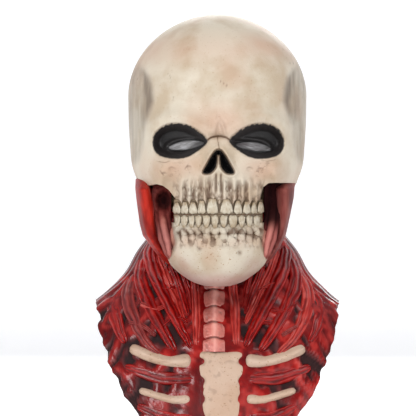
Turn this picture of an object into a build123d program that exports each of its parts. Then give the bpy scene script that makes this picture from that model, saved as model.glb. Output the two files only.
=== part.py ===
"""Full-head latex skull mask with a moving jaw and a flayed neck-and-chest bib.

Millimetres, +Z up. The face looks along -Y, +X is the wearer's left. The origin is where the wearer's
crown bears on the crown pad, in the middle of the mask.
"""

import math
import os

from build123d import *

# ---------------------------------------------------------------- driving dimensions
WALL = 3.0  # latex wall
PAD = 10.0  # foam pad between the skull and the wearer's head
CROWN_Z = WALL + PAD  # top of the cranium
WIDEST_Z = -73.0  # level of the cranium's widest ring
RIM_Z = -207.0  # lower rim of the skull at the nape
CHEEK_Z = -168.0  # underside of the cheekbones

SOCKET = (39.0, -122.0, 29.0, 17.5)  # eye socket: x, z, half width, half height
SOCKET_DEPTH = 14.0
SOCKET_FLOOR = 2.5
SLIT = (35.0, -127.6, 19.7, 6.1, -6.2)  # sight slit: x, z, half width, half height, tilt in degrees
SCREEN = 0.8  # woven screen behind a slit or the nose

BITE_Z = -198.0  # where the two rows of teeth meet
BITE_GAP = 1.0
TEETH_TOP_Z, TEETH_BOTTOM_Z = -183.5, -213.0
TOOTH_THICK = 6.0
TEETH_HALF = 47.0  # half width of the visible rows
TOOTH_PITCH = 9.0

PIVOT_Y, PIVOT_Z = 12.0, -158.0  # jaw hinge axis, along X
TAB_X, TAB_THICK, TAB_R = 71.5, 3.0, 11.0  # inner face, thickness and radius of the hinge tab
PIN_R, PIN_HEAD_R, PIN_HEAD = 3.0, 6.0, 1.8
RUNNING_CLEARANCE = 0.06
WASHER_THICK, WASHER_R = 0.9, 6.5
BRACKET_X, BRACKET_R = 77.5, 10.0
SPRING_R, SPRING_WIRE, SPRING_PITCH = 4.6, 0.45, 1.1

SLIT_WIDTH = 1.2  # cut that opens the back of the mask
TAB_LEVELS = {"upper": -226.0, "lower": -256.0}  # closure tabs, mid height
TAB_HEIGHT = 18.0
TAB_GAP = 0.4  # air under and around a closure tab
TAB_BAND = 1.6
TAB_HINGE_X, TAB_TIP_X, TAB_ANCHOR_X = 16.0, -26.0, 30.0
HOOK_BAND = 0.8

# Rings of the head: level, half width, front, back, power of the superellipse.
HEAD = [
    (CROWN_Z, 9.0, -9.0, 9.0, 2.0),
    (9.0, 29.0, -27.0, 40.0, 2.0),
    (-2.0, 50.5, -51.0, 71.0, 2.0),
    (-20.0, 72.0, -76.0, 94.0, 2.05),
    (-45.0, 88.0, -94.0, 109.0, 2.1),
    (WIDEST_Z, 94.5, -100.0, 115.0, 2.15),
    (-100.0, 94.0, -102.0, 114.0, 2.2),
    (-125.0, 92.5, -103.0, 110.0, 2.25),
    (-148.0, 90.0, -106.0, 105.0, 2.3),
    (-165.0, 84.0, -106.0, 99.0, 2.3),
    (-185.0, 78.0, -104.0, 93.0, 2.3),
    (RIM_Z, 73.0, -101.0, 88.0, 2.3),
]
# Rings of the upper jaw, below the cheekbones.
MAXILLA = [
    (-158.0, 61.0, -106.0, 30.0, 2.0),
    (-170.0, 58.0, -107.0, 29.0, 2.0),
    (TEETH_TOP_Z, 57.0, -107.0, 29.0, 2.0),
    (-199.0, 57.0, -106.5, 29.0, 2.0),
]
# Rings of the lower jaw, from above its top edge to under the chin.
JAW = [
    (-197.0, 57.0, -105.0, 29.0, 2.0),
    (TEETH_BOTTOM_Z, 58.0, -104.5, 29.0, 2.1),
    (-224.0, 58.5, -104.0, 28.0, 2.2),
    (-238.0, 54.5, -102.0, 26.0, 2.2),
    (-251.0, 46.0, -98.0, 24.0, 2.2),
    (-261.0, 35.5, -93.0, 18.0, 2.1),
    (-267.5, 25.0, -88.0, 6.0, 2.0),
    (-270.5, 15.0, -83.0, -10.0, 2.0),
]
# Rings of the neck and chest.
BIB = [
    (-188.0, 61.0, -26.0, 80.0, 2.0),
    (RIM_Z, 62.0, -27.0, 80.0, 2.0),
    (-218.0, 68.0, -27.5, 80.5, 1.9),
    (-238.0, 83.0, -28.0, 81.0, 1.75),
    (-262.0, 97.0, -29.0, 85.0, 1.75),
    (-284.0, 119.0, -34.0, 93.0, 1.9),
    (-302.0, 142.0, -47.0, 101.0, 2.1),
    (-330.0, 160.0, -64.0, 110.0, 2.4),
    (-370.0, 170.0, -80.0, 117.0, 2.6),
    (-415.0, 175.0, -92.0, 121.0, 2.6),
    (-462.0, 177.0, -100.0, 123.0, 2.6),
]
# Hem of the bib, seen from the front and from the back: half width and level, down to the middle.
FRONT_HEM = [(128, -290), (125, -318), (115, -352), (98, -390), (66, -430), (0, -452)]
BACK_HEM = [(128, -290), (116, -322), (92, -350), (54, -370), (0, -376)]
BIB_MIDDLE_Y = 25.0  # front and back flaps meet here, over the shoulders

RING_POINTS = 24
FAR = 300.0  # longer than any part, for cutting tools
SIDES = {"left": 1, "right": -1}


# ---------------------------------------------------------------- shared shapes
def ring(z, half_width, front, back, power):
    """Level face bounded by the superellipse |x/a|^n + |y/b|^n = 1 about the middle of front and back."""
    middle, depth = (front + back) / 2, (back - front) / 2
    points = []
    for i in range(RING_POINTS):
        c, s = math.cos(math.tau * i / RING_POINTS), math.sin(math.tau * i / RING_POINTS)
        x = half_width * math.copysign(abs(c) ** (2 / power), c)
        y = middle + depth * math.copysign(abs(s) ** (2 / power), s)
        points.append(Vector(x, y, z))
    steps = [i / RING_POINTS for i in range(RING_POINTS + 1)]
    return Face(Wire([Edge.make_spline(points, periodic=True, parameters=steps)]))


def skin(levels):
    """Solid through the rings, closed by flat ends."""
    with BuildPart() as body:
        loft(sections=[ring(*level) for level in levels])
    return body.part


def head_skin(inset, reach=0.0):
    """Head surface moved inwards: the cap above the widest ring shrinks about that ring's centre."""
    levels = []
    for z, half_width, front, back, power in HEAD:
        if z > WIDEST_Z:
            _, widest, widest_front, widest_back, _ = HEAD[5]
            middle, depth = (front + back) / 2, (back - front) / 2
            z = WIDEST_Z + (z - WIDEST_Z) * (1 - inset / (CROWN_Z - WIDEST_Z))
            depth *= 1 - 2 * inset / (widest_back - widest_front)
            levels.append((z, half_width * (1 - inset / widest), middle - depth, middle + depth, power))
        else:
            z -= reach if z == RIM_Z else 0
            levels.append((z, half_width - inset, front + inset, back - inset, power))
    return skin(levels)


def jaw_skin(inset):
    """Lower-jaw surface moved inwards, its floor raised by the inset."""
    top, floor = JAW[0][0], JAW[-1][0]
    squeeze = 1 - inset / (top - floor)
    return skin([(top + (z - top) * squeeze, a - inset, f + inset, b - inset, n) for z, a, f, b, n in JAW])


def maxilla_skin(inset):
    """Upper-jaw surface moved inwards."""
    return skin([(z, a - inset, f + inset, b - inset, n) for z, a, f, b, n in MAXILLA])


def bib_skin(inset):
    """Neck and chest surface moved inwards by inset, measured square to the sloping wall."""
    levels = []
    for i, (z, half_width, front, back, power) in enumerate(BIB):
        above, below = BIB[max(i - 1, 0)], BIB[min(i + 1, len(BIB) - 1)]
        run = above[0] - below[0]
        moved = [inset * math.hypot(1, (below[k] - above[k]) / run) for k in (1, 2, 3)]
        levels.append((z, half_width - moved[0], front + moved[1], back - moved[2], power))
    return skin(levels)


def block(x, y, z):
    """Box from its ranges along X, Y and Z."""
    with BuildPart() as body:
        with Locations([((x[0] + x[1]) / 2, (y[0] + y[1]) / 2, (z[0] + z[1]) / 2)]):
            Box(x[1] - x[0], y[1] - y[0], z[1] - z[0])
    return body.part


def front_prism(outline, near, far):
    """Prism of an outline drawn in X and Z, from depth near to depth far along Y."""
    with BuildPart() as body:
        with BuildSketch(Plane.XZ.offset(-far)):
            with BuildLine():
                Polyline(*outline, close=True)
            make_face()
        extrude(amount=far - near)
    return body.part


def oval_prism(x, z, half_width, half_height, tilt, near, far):
    """Elliptical prism tilted in the frontal plane, from depth near to depth far along Y."""
    with BuildPart() as body:
        with BuildSketch(Plane.XZ.offset(-far)):
            with Locations(Location((x, z, 0), (0, 0, tilt))):
                Ellipse(half_width, half_height)
        extrude(amount=far - near)
    return body.part


def disc(x, length, radius, y=PIVOT_Y, z=PIVOT_Z):
    """Cylinder along +X from x, about the jaw's hinge axis unless told otherwise."""
    with BuildPart() as body:
        with BuildSketch(Plane.YZ.offset(x)):
            with Locations((y, z)):
                Circle(radius)
        extrude(amount=length)
    return body.part


def side_prism(outline, x, length):
    """Prism of an outline drawn in Y and Z, along +X from x."""
    with BuildPart() as body:
        with BuildSketch(Plane.YZ.offset(x)):
            with BuildLine():
                Polyline(*outline, close=True)
            make_face()
        extrude(amount=length)
    return body.part


def layer(outer, inner, *windows):
    """What lies between two skins and inside every window."""
    with BuildPart() as body:
        add(outer)
        if inner is not None:
            add(inner, mode=Mode.SUBTRACT)
        for window in windows:
            add(window, mode=Mode.INTERSECT)
    return body.part


def flipped(shape):
    """Mirror image across the middle of the mask."""
    with BuildPart() as body:
        add(shape)
        mirror(about=Plane.YZ, mode=Mode.REPLACE)
    return body.part


def save(shape, name):
    """Labels a finished piece and writes its STEP file."""
    shape.label = name
    export_step(shape, f"parts/{name}.step")


def save_pair(shape, name):
    """Writes the wearer's left piece and its mirror image."""
    save(shape, f"{name}_left")
    save(flipped(shape), f"{name}_right")


os.makedirs("parts", exist_ok=True)
HEAD_OUTSIDE = head_skin(0)
HEAD_INSIDE = head_skin(WALL, reach=3)
HEAD_PAD = head_skin(WALL + PAD)
SOCKET_BACK = head_skin(SOCKET_DEPTH)
CUP_BACK = head_skin(SOCKET_DEPTH + SOCKET_FLOOR)
SCREEN_BACK = head_skin(SOCKET_DEPTH + SOCKET_FLOOR + SCREEN)
MAXILLA_OUTSIDE = maxilla_skin(0)
MAXILLA_INSIDE = maxilla_skin(WALL)
JAW_OUTSIDE = jaw_skin(0)
JAW_INSIDE = jaw_skin(WALL)
BIB_OUTSIDE = bib_skin(0)
BIB_INSIDE = bib_skin(WALL)


# ---------------------------------------------------------------- skull
def socket_prism(side, grow):
    """Elliptical prism through an eye socket."""
    x, z, half_width, half_height = SOCKET
    return oval_prism(side * x, z, half_width + grow, half_height + grow, 0, -120, -15)


def slit_prism(side, grow):
    """Elliptical prism through a sight slit."""
    x, z, half_width, half_height, tilt = SLIT
    return oval_prism(side * x, z, half_width + grow, half_height + grow, side * tilt, -120, -15)


def nostril_prism(side):
    """Teardrop prism through one side of the nasal opening, beside the septum."""
    half = [(1.2, -131.5), (4.0, -132.5), (15.5, -152.0), (13.5, -156.0), (7.0, -155.5), (1.2, -147.0)]
    return front_prism([(side * x, z) for x, z in half], -120, -60)


def skull_shell():
    """Latex cranium, brow, cheekbones and upper jaw, open below, with two socket cups."""
    front_cut = block((-FAR / 2, FAR / 2), (-FAR / 2, 24), (CHEEK_Z - 60, CHEEK_Z))
    ledge_zone = block((-FAR / 2, FAR / 2), (-120, -10), (CHEEK_Z, CHEEK_Z + WALL))
    ledge = layer(HEAD_OUTSIDE, SOCKET_BACK, ledge_zone)
    upper_jaw = layer(
        MAXILLA_OUTSIDE, MAXILLA_INSIDE, block((-TEETH_HALF, TEETH_HALF), (-120, -50), (TEETH_TOP_Z, -158))
    )
    cups = [layer(HEAD_OUTSIDE, CUP_BACK, socket_prism(side, SOCKET_FLOOR)) for side in SIDES.values()]
    recesses = [socket_prism(side, 0) - SOCKET_BACK for side in SIDES.values()]
    with BuildPart() as shell:
        add(HEAD_OUTSIDE)
        add(HEAD_INSIDE, mode=Mode.SUBTRACT)
        add(front_cut, mode=Mode.SUBTRACT)
        add(ledge)
        add(upper_jaw)
        add(cups)
        for side, recess in zip(SIDES.values(), recesses):
            add(recess, mode=Mode.SUBTRACT)
            add(slit_prism(side, 0), mode=Mode.SUBTRACT)
            add(nostril_prism(side), mode=Mode.SUBTRACT)
        with Locations((0, 100, RIM_Z + 20)):
            Box(SLIT_WIDTH, 100, 80, mode=Mode.SUBTRACT)
    return shell.part


save(skull_shell(), "skull_shell")
save_pair(layer(CUP_BACK, SCREEN_BACK, slit_prism(1, 3.0)), "eye_screen")
nose_window = [(-6, -129), (6, -129), (18, -149), (18, -157.8), (-18, -157.8), (-18, -149)]
save(layer(HEAD_INSIDE, head_skin(WALL + SCREEN), front_prism(nose_window, -120, -60)), "nose_screen")


def pad(x, y, z):
    """Foam pad on the inside of the skull within the given ranges."""
    return layer(HEAD_INSIDE, HEAD_PAD, block(x, y, z))


save(pad((-45, 45), (-120, 0), (-98, -48)), "forehead_pad")
save(pad((-42, 42), (20, 130), (-120, -60)), "rear_pad")
save_pair(pad((50, 110), (-12, 44), (-120, -60)), "temple_pad")
with BuildPart() as crown_window:
    with Locations((0, 0, 0)):
        Cylinder(42, 80)
save(layer(HEAD_INSIDE, HEAD_PAD, crown_window.part), "crown_pad")


# ---------------------------------------------------------------- teeth
def teeth(outside, inside, bottom, top):
    """Band of teeth along the arch, parted by upright grooves that stop short of the root end."""
    window = block((-TEETH_HALF, TEETH_HALF), (-120, -50), (bottom, top))
    count = int(TEETH_HALF // TOOTH_PITCH)
    front, back = MAXILLA[2][2], MAXILLA[2][3]
    middle, depth, half = (front + back) / 2, (back - front) / 2, MAXILLA[2][1]
    with BuildPart() as row:
        add(layer(outside, inside, window))
        for i in range(-count, count + 1):
            x = TOOTH_PITCH * i
            y = middle - depth * math.sqrt(1 - (x / half) ** 2)
            with Locations((x, y, (bottom + top) / 2)):
                Cylinder(1.3, top - bottom - 3, mode=Mode.SUBTRACT)
    return row.part


save(teeth(MAXILLA_OUTSIDE, maxilla_skin(TOOTH_THICK), BITE_Z + BITE_GAP / 2, TEETH_TOP_Z), "upper_teeth")
save(teeth(JAW_OUTSIDE, jaw_skin(TOOTH_THICK), TEETH_BOTTOM_Z, BITE_Z - BITE_GAP / 2), "lower_teeth")


# ---------------------------------------------------------------- cheeks
def upright(sections):
    """Loft through level rectangles given as level, X range and Y range."""
    with BuildPart() as body:
        for z, x, y in sections:
            with BuildSketch(Plane.XY.offset(z)):
                with Locations(((x[0] + x[1]) / 2, (y[0] + y[1]) / 2)):
                    Rectangle(x[1] - x[0], y[1] - y[0])
        loft(ruled=True)
    return body.part


masseter = upright(
    [
        (CHEEK_Z, (77.0, 83.5), (-42.0, 22.0)),
        (-196.0, (70.0, 81.5), (-44.0, 18.0)),
        (-222.0, (62.5, 77.0), (-40.0, 0.0)),
        (-238.0, (62.0, 72.0), (-32.0, -10.0)),
    ]
)
save_pair(masseter, "masseter")
lining_window = block((TEETH_HALF, 70), (-80, -20), (-196, CHEEK_Z))
save_pair(layer(MAXILLA_OUTSIDE, maxilla_skin(2.0), lining_window), "cheek_lining")


# ---------------------------------------------------------------- jaw
def jaw_shell():
    """Latex lower jaw: U-shaped wall and chin, with an arm up to each hinge tab."""
    below_teeth = block((-FAR / 2, FAR / 2), (-120, 40), (-280, TEETH_BOTTOM_Z))
    behind = [(-22, -205), (-22, -224), (-66, -272), (-66, -290), (60, -290), (60, -205)]
    arm = upright(
        [
            (-224.0, (54.5, 58.2), (-40.0, -20.0)),
            (-214.0, (54.9, 58.4), (-40.0, -16.0)),
            (-172.0, (TAB_X, TAB_X + TAB_THICK), (-6.0, 17.0)),
            (PIVOT_Z, (TAB_X, TAB_X + TAB_THICK), (PIVOT_Y - TAB_R, PIVOT_Y + TAB_R)),
        ]
    )
    hinge = disc(TAB_X, TAB_THICK, TAB_R)
    hole = disc(TAB_X - 5, TAB_THICK + 10, PIN_R + RUNNING_CLEARANCE)
    with BuildPart() as shell:
        add(layer(JAW_OUTSIDE, JAW_INSIDE, below_teeth))
        add(side_prism(behind, -FAR / 2, FAR), mode=Mode.SUBTRACT)
        add([arm, hinge, flipped(arm), flipped(hinge)])
        add([hole, flipped(hole)], mode=Mode.SUBTRACT)
    return shell.part


save(jaw_shell(), "jaw_shell")

pin_end = BRACKET_X + 1.5
washer_x = TAB_X - WASHER_THICK
head_x = washer_x - 0.1 - PIN_HEAD
with BuildPart() as pivot_pin:
    add(disc(head_x, PIN_HEAD, PIN_HEAD_R))
    add(disc(head_x, pin_end - head_x, PIN_R))
save_pair(pivot_pin.part, "pivot_pin")
with BuildPart() as pivot_washer:
    add(disc(washer_x, WASHER_THICK, WASHER_R))
    add(disc(washer_x - 1, WASHER_THICK + 2, PIN_R + RUNNING_CLEARANCE), mode=Mode.SUBTRACT)
save_pair(pivot_washer.part, "pivot_washer")
for name, start in {"left": BRACKET_X, "right": -BRACKET_X - 20}.items():
    with BuildPart() as pivot_bracket:
        add(disc(start, 20, BRACKET_R))
        add(HEAD_INSIDE, mode=Mode.INTERSECT)
        add(disc(-pin_end, 2 * pin_end, PIN_R), mode=Mode.SUBTRACT)
    save(pivot_bracket.part, f"pivot_bracket_{name}")

spring_room = BRACKET_X - TAB_X - TAB_THICK - 2 * SPRING_WIRE - 0.2
spring_x = TAB_X + TAB_THICK + SPRING_WIRE + 0.1
spring_start = Plane((spring_x, PIVOT_Y, PIVOT_Z), x_dir=(0, 1, 0), z_dir=(1, 0, 0))
coil = spring_start.from_local_coords(Helix(SPRING_PITCH, spring_room, SPRING_R, mode=Mode.PRIVATE))
with BuildPart() as pivot_spring:
    with BuildSketch(Plane(coil @ 0, z_dir=coil % 0)):
        Circle(SPRING_WIRE)
    sweep(path=coil, is_frenet=True)
save_pair(pivot_spring.part, "pivot_spring")

# Foam cup for the wearer's chin, on the floor of the jaw.
cup_hollow = block((-20, 20), (-84, -40), (-252, -230))
with BuildPart() as chin_cup:
    add(JAW_INSIDE)
    add(block((-27, 27), (-110, -64), (-268, -238)), mode=Mode.INTERSECT)
    add(cup_hollow, mode=Mode.SUBTRACT)
save(chin_cup.part, "chin_cup")

# Elastic strap behind the chin, from one side of the jaw to the other, with its slider.
STRAP_Y, STRAP_Z, STRAP_WIDTH, STRAP_THICK = -48.0, -232.0, 15.0, 1.2
SLIDER_X, SLIDER_WIDE, SLIDER_BAR = 14.0, 22.0, 2.2
strap_height = (STRAP_Z - STRAP_THICK / 2, STRAP_Z + STRAP_THICK / 2)
strap_depth = (STRAP_Y - STRAP_WIDTH / 2, STRAP_Y + STRAP_WIDTH / 2)
with BuildPart() as chin_strap:
    add(JAW_INSIDE)
    add(block((-60, 60), strap_depth, strap_height), mode=Mode.INTERSECT)
save(chin_strap.part, "chin_strap")
with BuildPart() as strap_slider:
    with Locations((0, STRAP_Y, STRAP_Z)):
        Box(SLIDER_X, SLIDER_WIDE, STRAP_THICK + 2 * SLIDER_BAR)
        Box(SLIDER_X + 2, STRAP_WIDTH + 0.1, STRAP_THICK + 0.1, mode=Mode.SUBTRACT)
        Box(SLIDER_X - 2 * SLIDER_BAR - 1, STRAP_WIDTH - 1, 20, mode=Mode.SUBTRACT)
save(strap_slider.part, "strap_slider")


# ---------------------------------------------------------------- neck and chest
def bib():
    """Latex neck tube and chest flaps, with a collar glued inside the skull's rim at the nape."""
    top = [(-140, -284), (-140, -180), (140, -180), (140, -284)]
    front = front_prism(FRONT_HEM + [(-x, z) for x, z in FRONT_HEM[-2::-1]] + top, -130, BIB_MIDDLE_Y)
    back = front_prism(BACK_HEM + [(-x, z) for x, z in BACK_HEM[-2::-1]] + top, BIB_MIDDLE_Y, 130)
    above = block((-FAR / 2, FAR / 2), (-60, 24.2), (RIM_Z, -180))
    throat = block((-50, 50), (-60, -2), (-258, -180))
    lap_zone = block((-100, 100), (24.2, 130), (RIM_Z, RIM_Z + 18))
    lap = layer(HEAD_INSIDE, head_skin(2 * WALL, reach=3), lap_zone)
    shelf = layer(HEAD_INSIDE, BIB_INSIDE, block((-100, 100), (24.2, 130), (RIM_Z, RIM_Z + WALL)))
    with BuildPart() as body:
        add(BIB_OUTSIDE)
        add(BIB_INSIDE, mode=Mode.SUBTRACT)
        add(front + back, mode=Mode.INTERSECT)
        add(above, mode=Mode.SUBTRACT)
        add(block((-FAR / 2, FAR / 2), (-60, 130), (RIM_Z + WALL, -180)), mode=Mode.SUBTRACT)
        add(throat, mode=Mode.SUBTRACT)
        add([lap, shelf])
        with Locations((0, 100, -290)):
            Box(SLIT_WIDTH, 100, 220, mode=Mode.SUBTRACT)
    return body.part


save(bib(), "neck_bib")


def relief(outline, height, near=-130, far=BIB_MIDDLE_Y):
    """Raised piece on the front of the bib within an outline drawn in X and Z."""
    return layer(bib_skin(-height), BIB_OUTSIDE, front_prism(outline, near, far))


vertebrae = [
    (-15, -275), (15, -275), (15, -288), (11, -290), (15, -292), (15, -304), (11, -306.5), (15, -309),
    (15, -321), (11, -323), (15, -325), (16, -344), (-16, -344), (-15, -325), (-11, -323), (-15, -321),
    (-15, -309), (-11, -306.5), (-15, -304), (-15, -292), (-11, -290), (-15, -288),
]
save(relief(vertebrae, 5.0), "neck_vertebrae")
shield = [(-26, -347), (26, -347), (27, -375), (14, -410), (8, -440), (-8, -440), (-14, -410), (-27, -375)]
save(relief(shield, 4.0), "breastbone")
save_pair(relief([(28, -352), (84, -340), (84, -352), (28, -365)], 6.0), "collarbone")
save_pair(relief([(29, -390), (78, -384), (78, -393), (29, -402)], 4.0), "rib")
save_pair(relief([(17, -262), (26, -262), (44, -332), (26, -344), (18, -344)], 3.0), "neck_muscle")


# ---------------------------------------------------------------- closure at the back of the neck
def back_layer(near, far, x, z):
    """Strip of the surface between two heights above the back of the bib."""
    return layer(bib_skin(-far), bib_skin(-near), block(x, (40, 140), z))


for name, level in TAB_LEVELS.items():
    height = (level - TAB_HEIGHT / 2, level + TAB_HEIGHT / 2)
    patch = (level - TAB_HEIGHT / 2 + 1, level + TAB_HEIGHT / 2 - 1)
    low = 2 * HOOK_BAND + TAB_GAP
    save(back_layer(low, low + TAB_BAND, (TAB_TIP_X, TAB_HINGE_X - TAB_GAP), height), f"closure_tab_{name}")
    save(back_layer(HOOK_BAND + TAB_GAP, low, (TAB_TIP_X + 1, -7.0), patch), f"hook_patch_{name}")
    save(back_layer(0, HOOK_BAND, (TAB_TIP_X + 1, -7.0), patch), f"loop_patch_{name}")
    save(back_layer(0, low + TAB_BAND, (TAB_HINGE_X, TAB_ANCHOR_X), height), f"tab_anchor_{name}")
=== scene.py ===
"""Latex skull mask with a moving jaw: sculpted surfaces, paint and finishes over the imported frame.

Lengths in the shape functions are millimetres in the mask's own frame: +Z up, the face looks along -Y,
+X is the wearer's left, and the origin is under the crown pad.
"""

import math

import bpy
import numpy as np
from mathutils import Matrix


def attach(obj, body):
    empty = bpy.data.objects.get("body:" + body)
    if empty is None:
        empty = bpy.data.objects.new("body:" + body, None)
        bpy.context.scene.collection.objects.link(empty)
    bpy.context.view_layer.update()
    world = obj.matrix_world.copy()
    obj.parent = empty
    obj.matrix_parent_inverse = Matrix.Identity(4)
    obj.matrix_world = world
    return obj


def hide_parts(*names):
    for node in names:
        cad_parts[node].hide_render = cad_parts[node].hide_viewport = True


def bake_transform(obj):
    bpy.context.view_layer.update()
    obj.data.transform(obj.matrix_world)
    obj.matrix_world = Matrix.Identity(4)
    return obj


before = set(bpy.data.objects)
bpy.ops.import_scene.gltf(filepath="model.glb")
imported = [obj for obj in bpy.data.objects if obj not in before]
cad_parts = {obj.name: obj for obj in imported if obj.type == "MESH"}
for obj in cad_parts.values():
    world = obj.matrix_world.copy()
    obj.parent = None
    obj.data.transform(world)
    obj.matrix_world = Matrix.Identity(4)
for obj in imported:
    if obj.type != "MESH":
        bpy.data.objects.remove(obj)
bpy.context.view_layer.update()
MM = 0.001

CROWN, WIDEST, RIM = 13.0, -73.0, -207.0
BEND_FROM, UPPER_GUM = -140.0, -184.2  # rows below the first follow the lower edge; the second is its middle
FACE_X = 1.0  # the sculpted face sits a little to the wearer's left
WALL = 3.0
# level, half width, front, back, power of the superellipse
HEAD_RINGS = [
    (-73, 94.5, -100, 115, 2.15),
    (-100, 94, -102, 114, 2.2),
    (-125, 92.5, -103, 110, 2.25),
    (-148, 90, -106, 105, 2.3),
    (-165, 84, -106, 99, 2.3),
    (-185, 78, -104, 93, 2.3),
    (-207, 73, -101, 88, 2.3),
]
BIB_RINGS = [
    (-188, 61, -26, 80, 2.0),
    (-207, 62, -27, 80, 2.0),
    (-218, 68, -27.5, 80.5, 1.9),
    (-238, 83, -28, 81, 1.75),
    (-262, 97, -29, 85, 1.75),
    (-284, 119, -34, 93, 1.9),
    (-302, 142, -47, 101, 2.1),
    (-330, 160, -64, 110, 2.4),
    (-370, 170, -80, 117, 2.6),
    (-415, 175, -92, 121, 2.6),
    (-462, 177, -100, 123, 2.6),
]


# ---------------------------------------------------------------- numbers and curves
def smooth(start, end, x):
    """0 before start, 1 after end, and an S-curve between."""
    t = np.clip((x - start) / (end - start), 0, 1)
    return t * t * (3 - 2 * t)


def hill(x, centre, width):
    """Bell curve of height 1."""
    return np.exp(-(((x - centre) / width) ** 2))


def mix(a, b, t):
    """Straight blend of a and b."""
    return a + (b - a) * t


def along(table, column, z):
    """Smooth cubic through one column of a table against its first column."""
    rows = np.array(sorted(table), float)
    knots, values = rows[:, 0], rows[:, column]
    slopes = np.gradient(values, knots)
    i = np.clip(np.searchsorted(knots, z) - 1, 0, len(knots) - 2)
    step = knots[i + 1] - knots[i]
    t = np.clip((z - knots[i]) / step, 0, 1)
    return (
        (2 * t**3 - 3 * t**2 + 1) * values[i]
        + (t**3 - 2 * t**2 + t) * step * slopes[i]
        + (3 * t**2 - 2 * t**3) * values[i + 1]
        + (t**3 - t**2) * step * slopes[i + 1]
    )


def lattice(ix, iy, iz, seed):
    """Repeatable random number from 0 to 1 at whole-number places."""
    h = ix.astype(np.uint32) * np.uint32(374761393) + iy.astype(np.uint32) * np.uint32(668265263)
    h = h + iz.astype(np.uint32) * np.uint32(2246822519) + np.uint32(seed * 3266489917 % 4294967296)
    h = (h ^ (h >> np.uint32(13))) * np.uint32(1274126177)
    h = h ^ (h >> np.uint32(16))
    return h.astype(np.float64) / 4294967295.0


def noise(x, y, z, scale, seed=1, octaves=2):
    """Value noise from -1 to 1: lattice numbers blended by S-curves, in octaves of half the strength."""
    total, weight, reach = 0.0, 0.0, 1.0
    for octave in range(octaves):
        px, py, pz = (np.asarray(v, float) / scale * 2**octave + 1000.5 for v in (x, y, z))
        ix, iy, iz = (np.floor(v).astype(np.int64) for v in (px, py, pz))
        fx, fy, fz = (v - i for v, i in ((px, ix), (py, iy), (pz, iz)))
        fx, fy, fz = (f * f * (3 - 2 * f) for f in (fx, fy, fz))
        value = 0.0
        for dx in (0, 1):
            for dy in (0, 1):
                for dz in (0, 1):
                    share = (fx if dx else 1 - fx) * (fy if dy else 1 - fy) * (fz if dz else 1 - fz)
                    value = value + share * lattice(ix + dx, iy + dy, iz + dz, seed + octave)
        total, weight, reach = total + reach * (2 * value - 1), weight + reach, reach / 2
    return total / weight


def curve_through(points, closed=False, steps=6):
    """Points of a Catmull-Rom curve through the given ones."""
    p = np.array(points, float)
    ends = (p[-1:], p[:1], p[1:2]) if closed else (2 * p[:1] - p[1:2], 2 * p[-1:] - p[-2:-1])
    q = np.vstack([ends[0], p, *ends[1:]])
    t = (np.arange(steps) / steps)[:, None]
    parts = [
        0.5
        * (
            2 * q[i + 1]
            + (q[i + 2] - q[i]) * t
            + (2 * q[i] - 5 * q[i + 1] + 4 * q[i + 2] - q[i + 3]) * t**2
            + (3 * q[i + 1] - q[i] - 3 * q[i + 2] + q[i + 3]) * t**3
        )
        for i in range(len(q) - 3)
    ]
    return np.vstack(parts + ([] if closed else [p[-1:]]))


def nearest(path, x, z, closed=False):
    """For each place: distance to the path, the way along it to there, and the signed offset to its right."""
    a = path if closed else path[:-1]
    b = np.roll(path, -1, 0) if closed else path[1:]
    lengths = np.hypot(*(b - a).T)
    starts = np.concatenate([[0], np.cumsum(lengths)[:-1]])
    best = np.full(x.shape, 1e9)
    way, side = np.zeros(x.shape), np.zeros(x.shape)
    for (ax, az), (bx, bz), length, start in zip(a, b, lengths, starts):
        dx, dz = (bx - ax) / max(length, 1e-9), (bz - az) / max(length, 1e-9)
        t = np.clip((x - ax) * dx + (z - az) * dz, 0, length)
        gap = np.hypot(x - ax - t * dx, z - az - t * dz)
        closer = gap < best
        best = np.where(closer, gap, best)
        way = np.where(closer, start + t, way)
        side = np.where(closer, (x - ax) * dz - (z - az) * dx, side)
    return best, way, side


def depth_inside(outline, x, z):
    """Distance in from a closed smooth outline, negative outside."""
    path = curve_through(outline, closed=True)
    gap, _, _ = nearest(path, x, z, closed=True)
    inside = np.zeros(x.shape, bool)
    for (ax, az), (bx, bz) in zip(path, np.roll(path, -1, 0)):
        crosses = (az > z) != (bz > z)
        where = ax + (z - az) / (bz - az if bz != az else 1e-9) * (bx - ax)
        inside ^= crosses & (x < where)
    return np.where(inside, gap, -gap)


# ---------------------------------------------------------------- meshes
def mesh_object(name, points, faces, masks=None, material=None):
    """Welded smooth mesh from points in millimetres; masks are per-point numbers kept as attributes."""
    points = np.asarray(points, float).reshape(-1, 3)
    keys, first, place = np.unique(np.round(points, 4), axis=0, return_index=True, return_inverse=True)
    faces = place.ravel()[np.asarray(faces)]
    kept = []
    for face in faces.tolist():
        ring = [v for k, v in enumerate(face) if v != face[k - 1]]
        if len(set(ring)) > 2:
            kept.append(ring)
    mesh = bpy.data.meshes.new(name)
    mesh.from_pydata((points[first] * MM).tolist(), [], kept)
    mesh.update()
    for mask, values in (masks or {}).items():
        layer = mesh.attributes.new(mask, "FLOAT", "POINT")
        layer.data.foreach_set("value", np.asarray(values, float).ravel()[first].astype(np.float32))
    mesh.polygons.foreach_set("use_smooth", np.ones(len(mesh.polygons), bool))
    obj = bpy.data.objects.new(name, mesh)
    bpy.context.scene.collection.objects.link(obj)
    if material:
        mesh.materials.append(material)
    return obj


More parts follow.
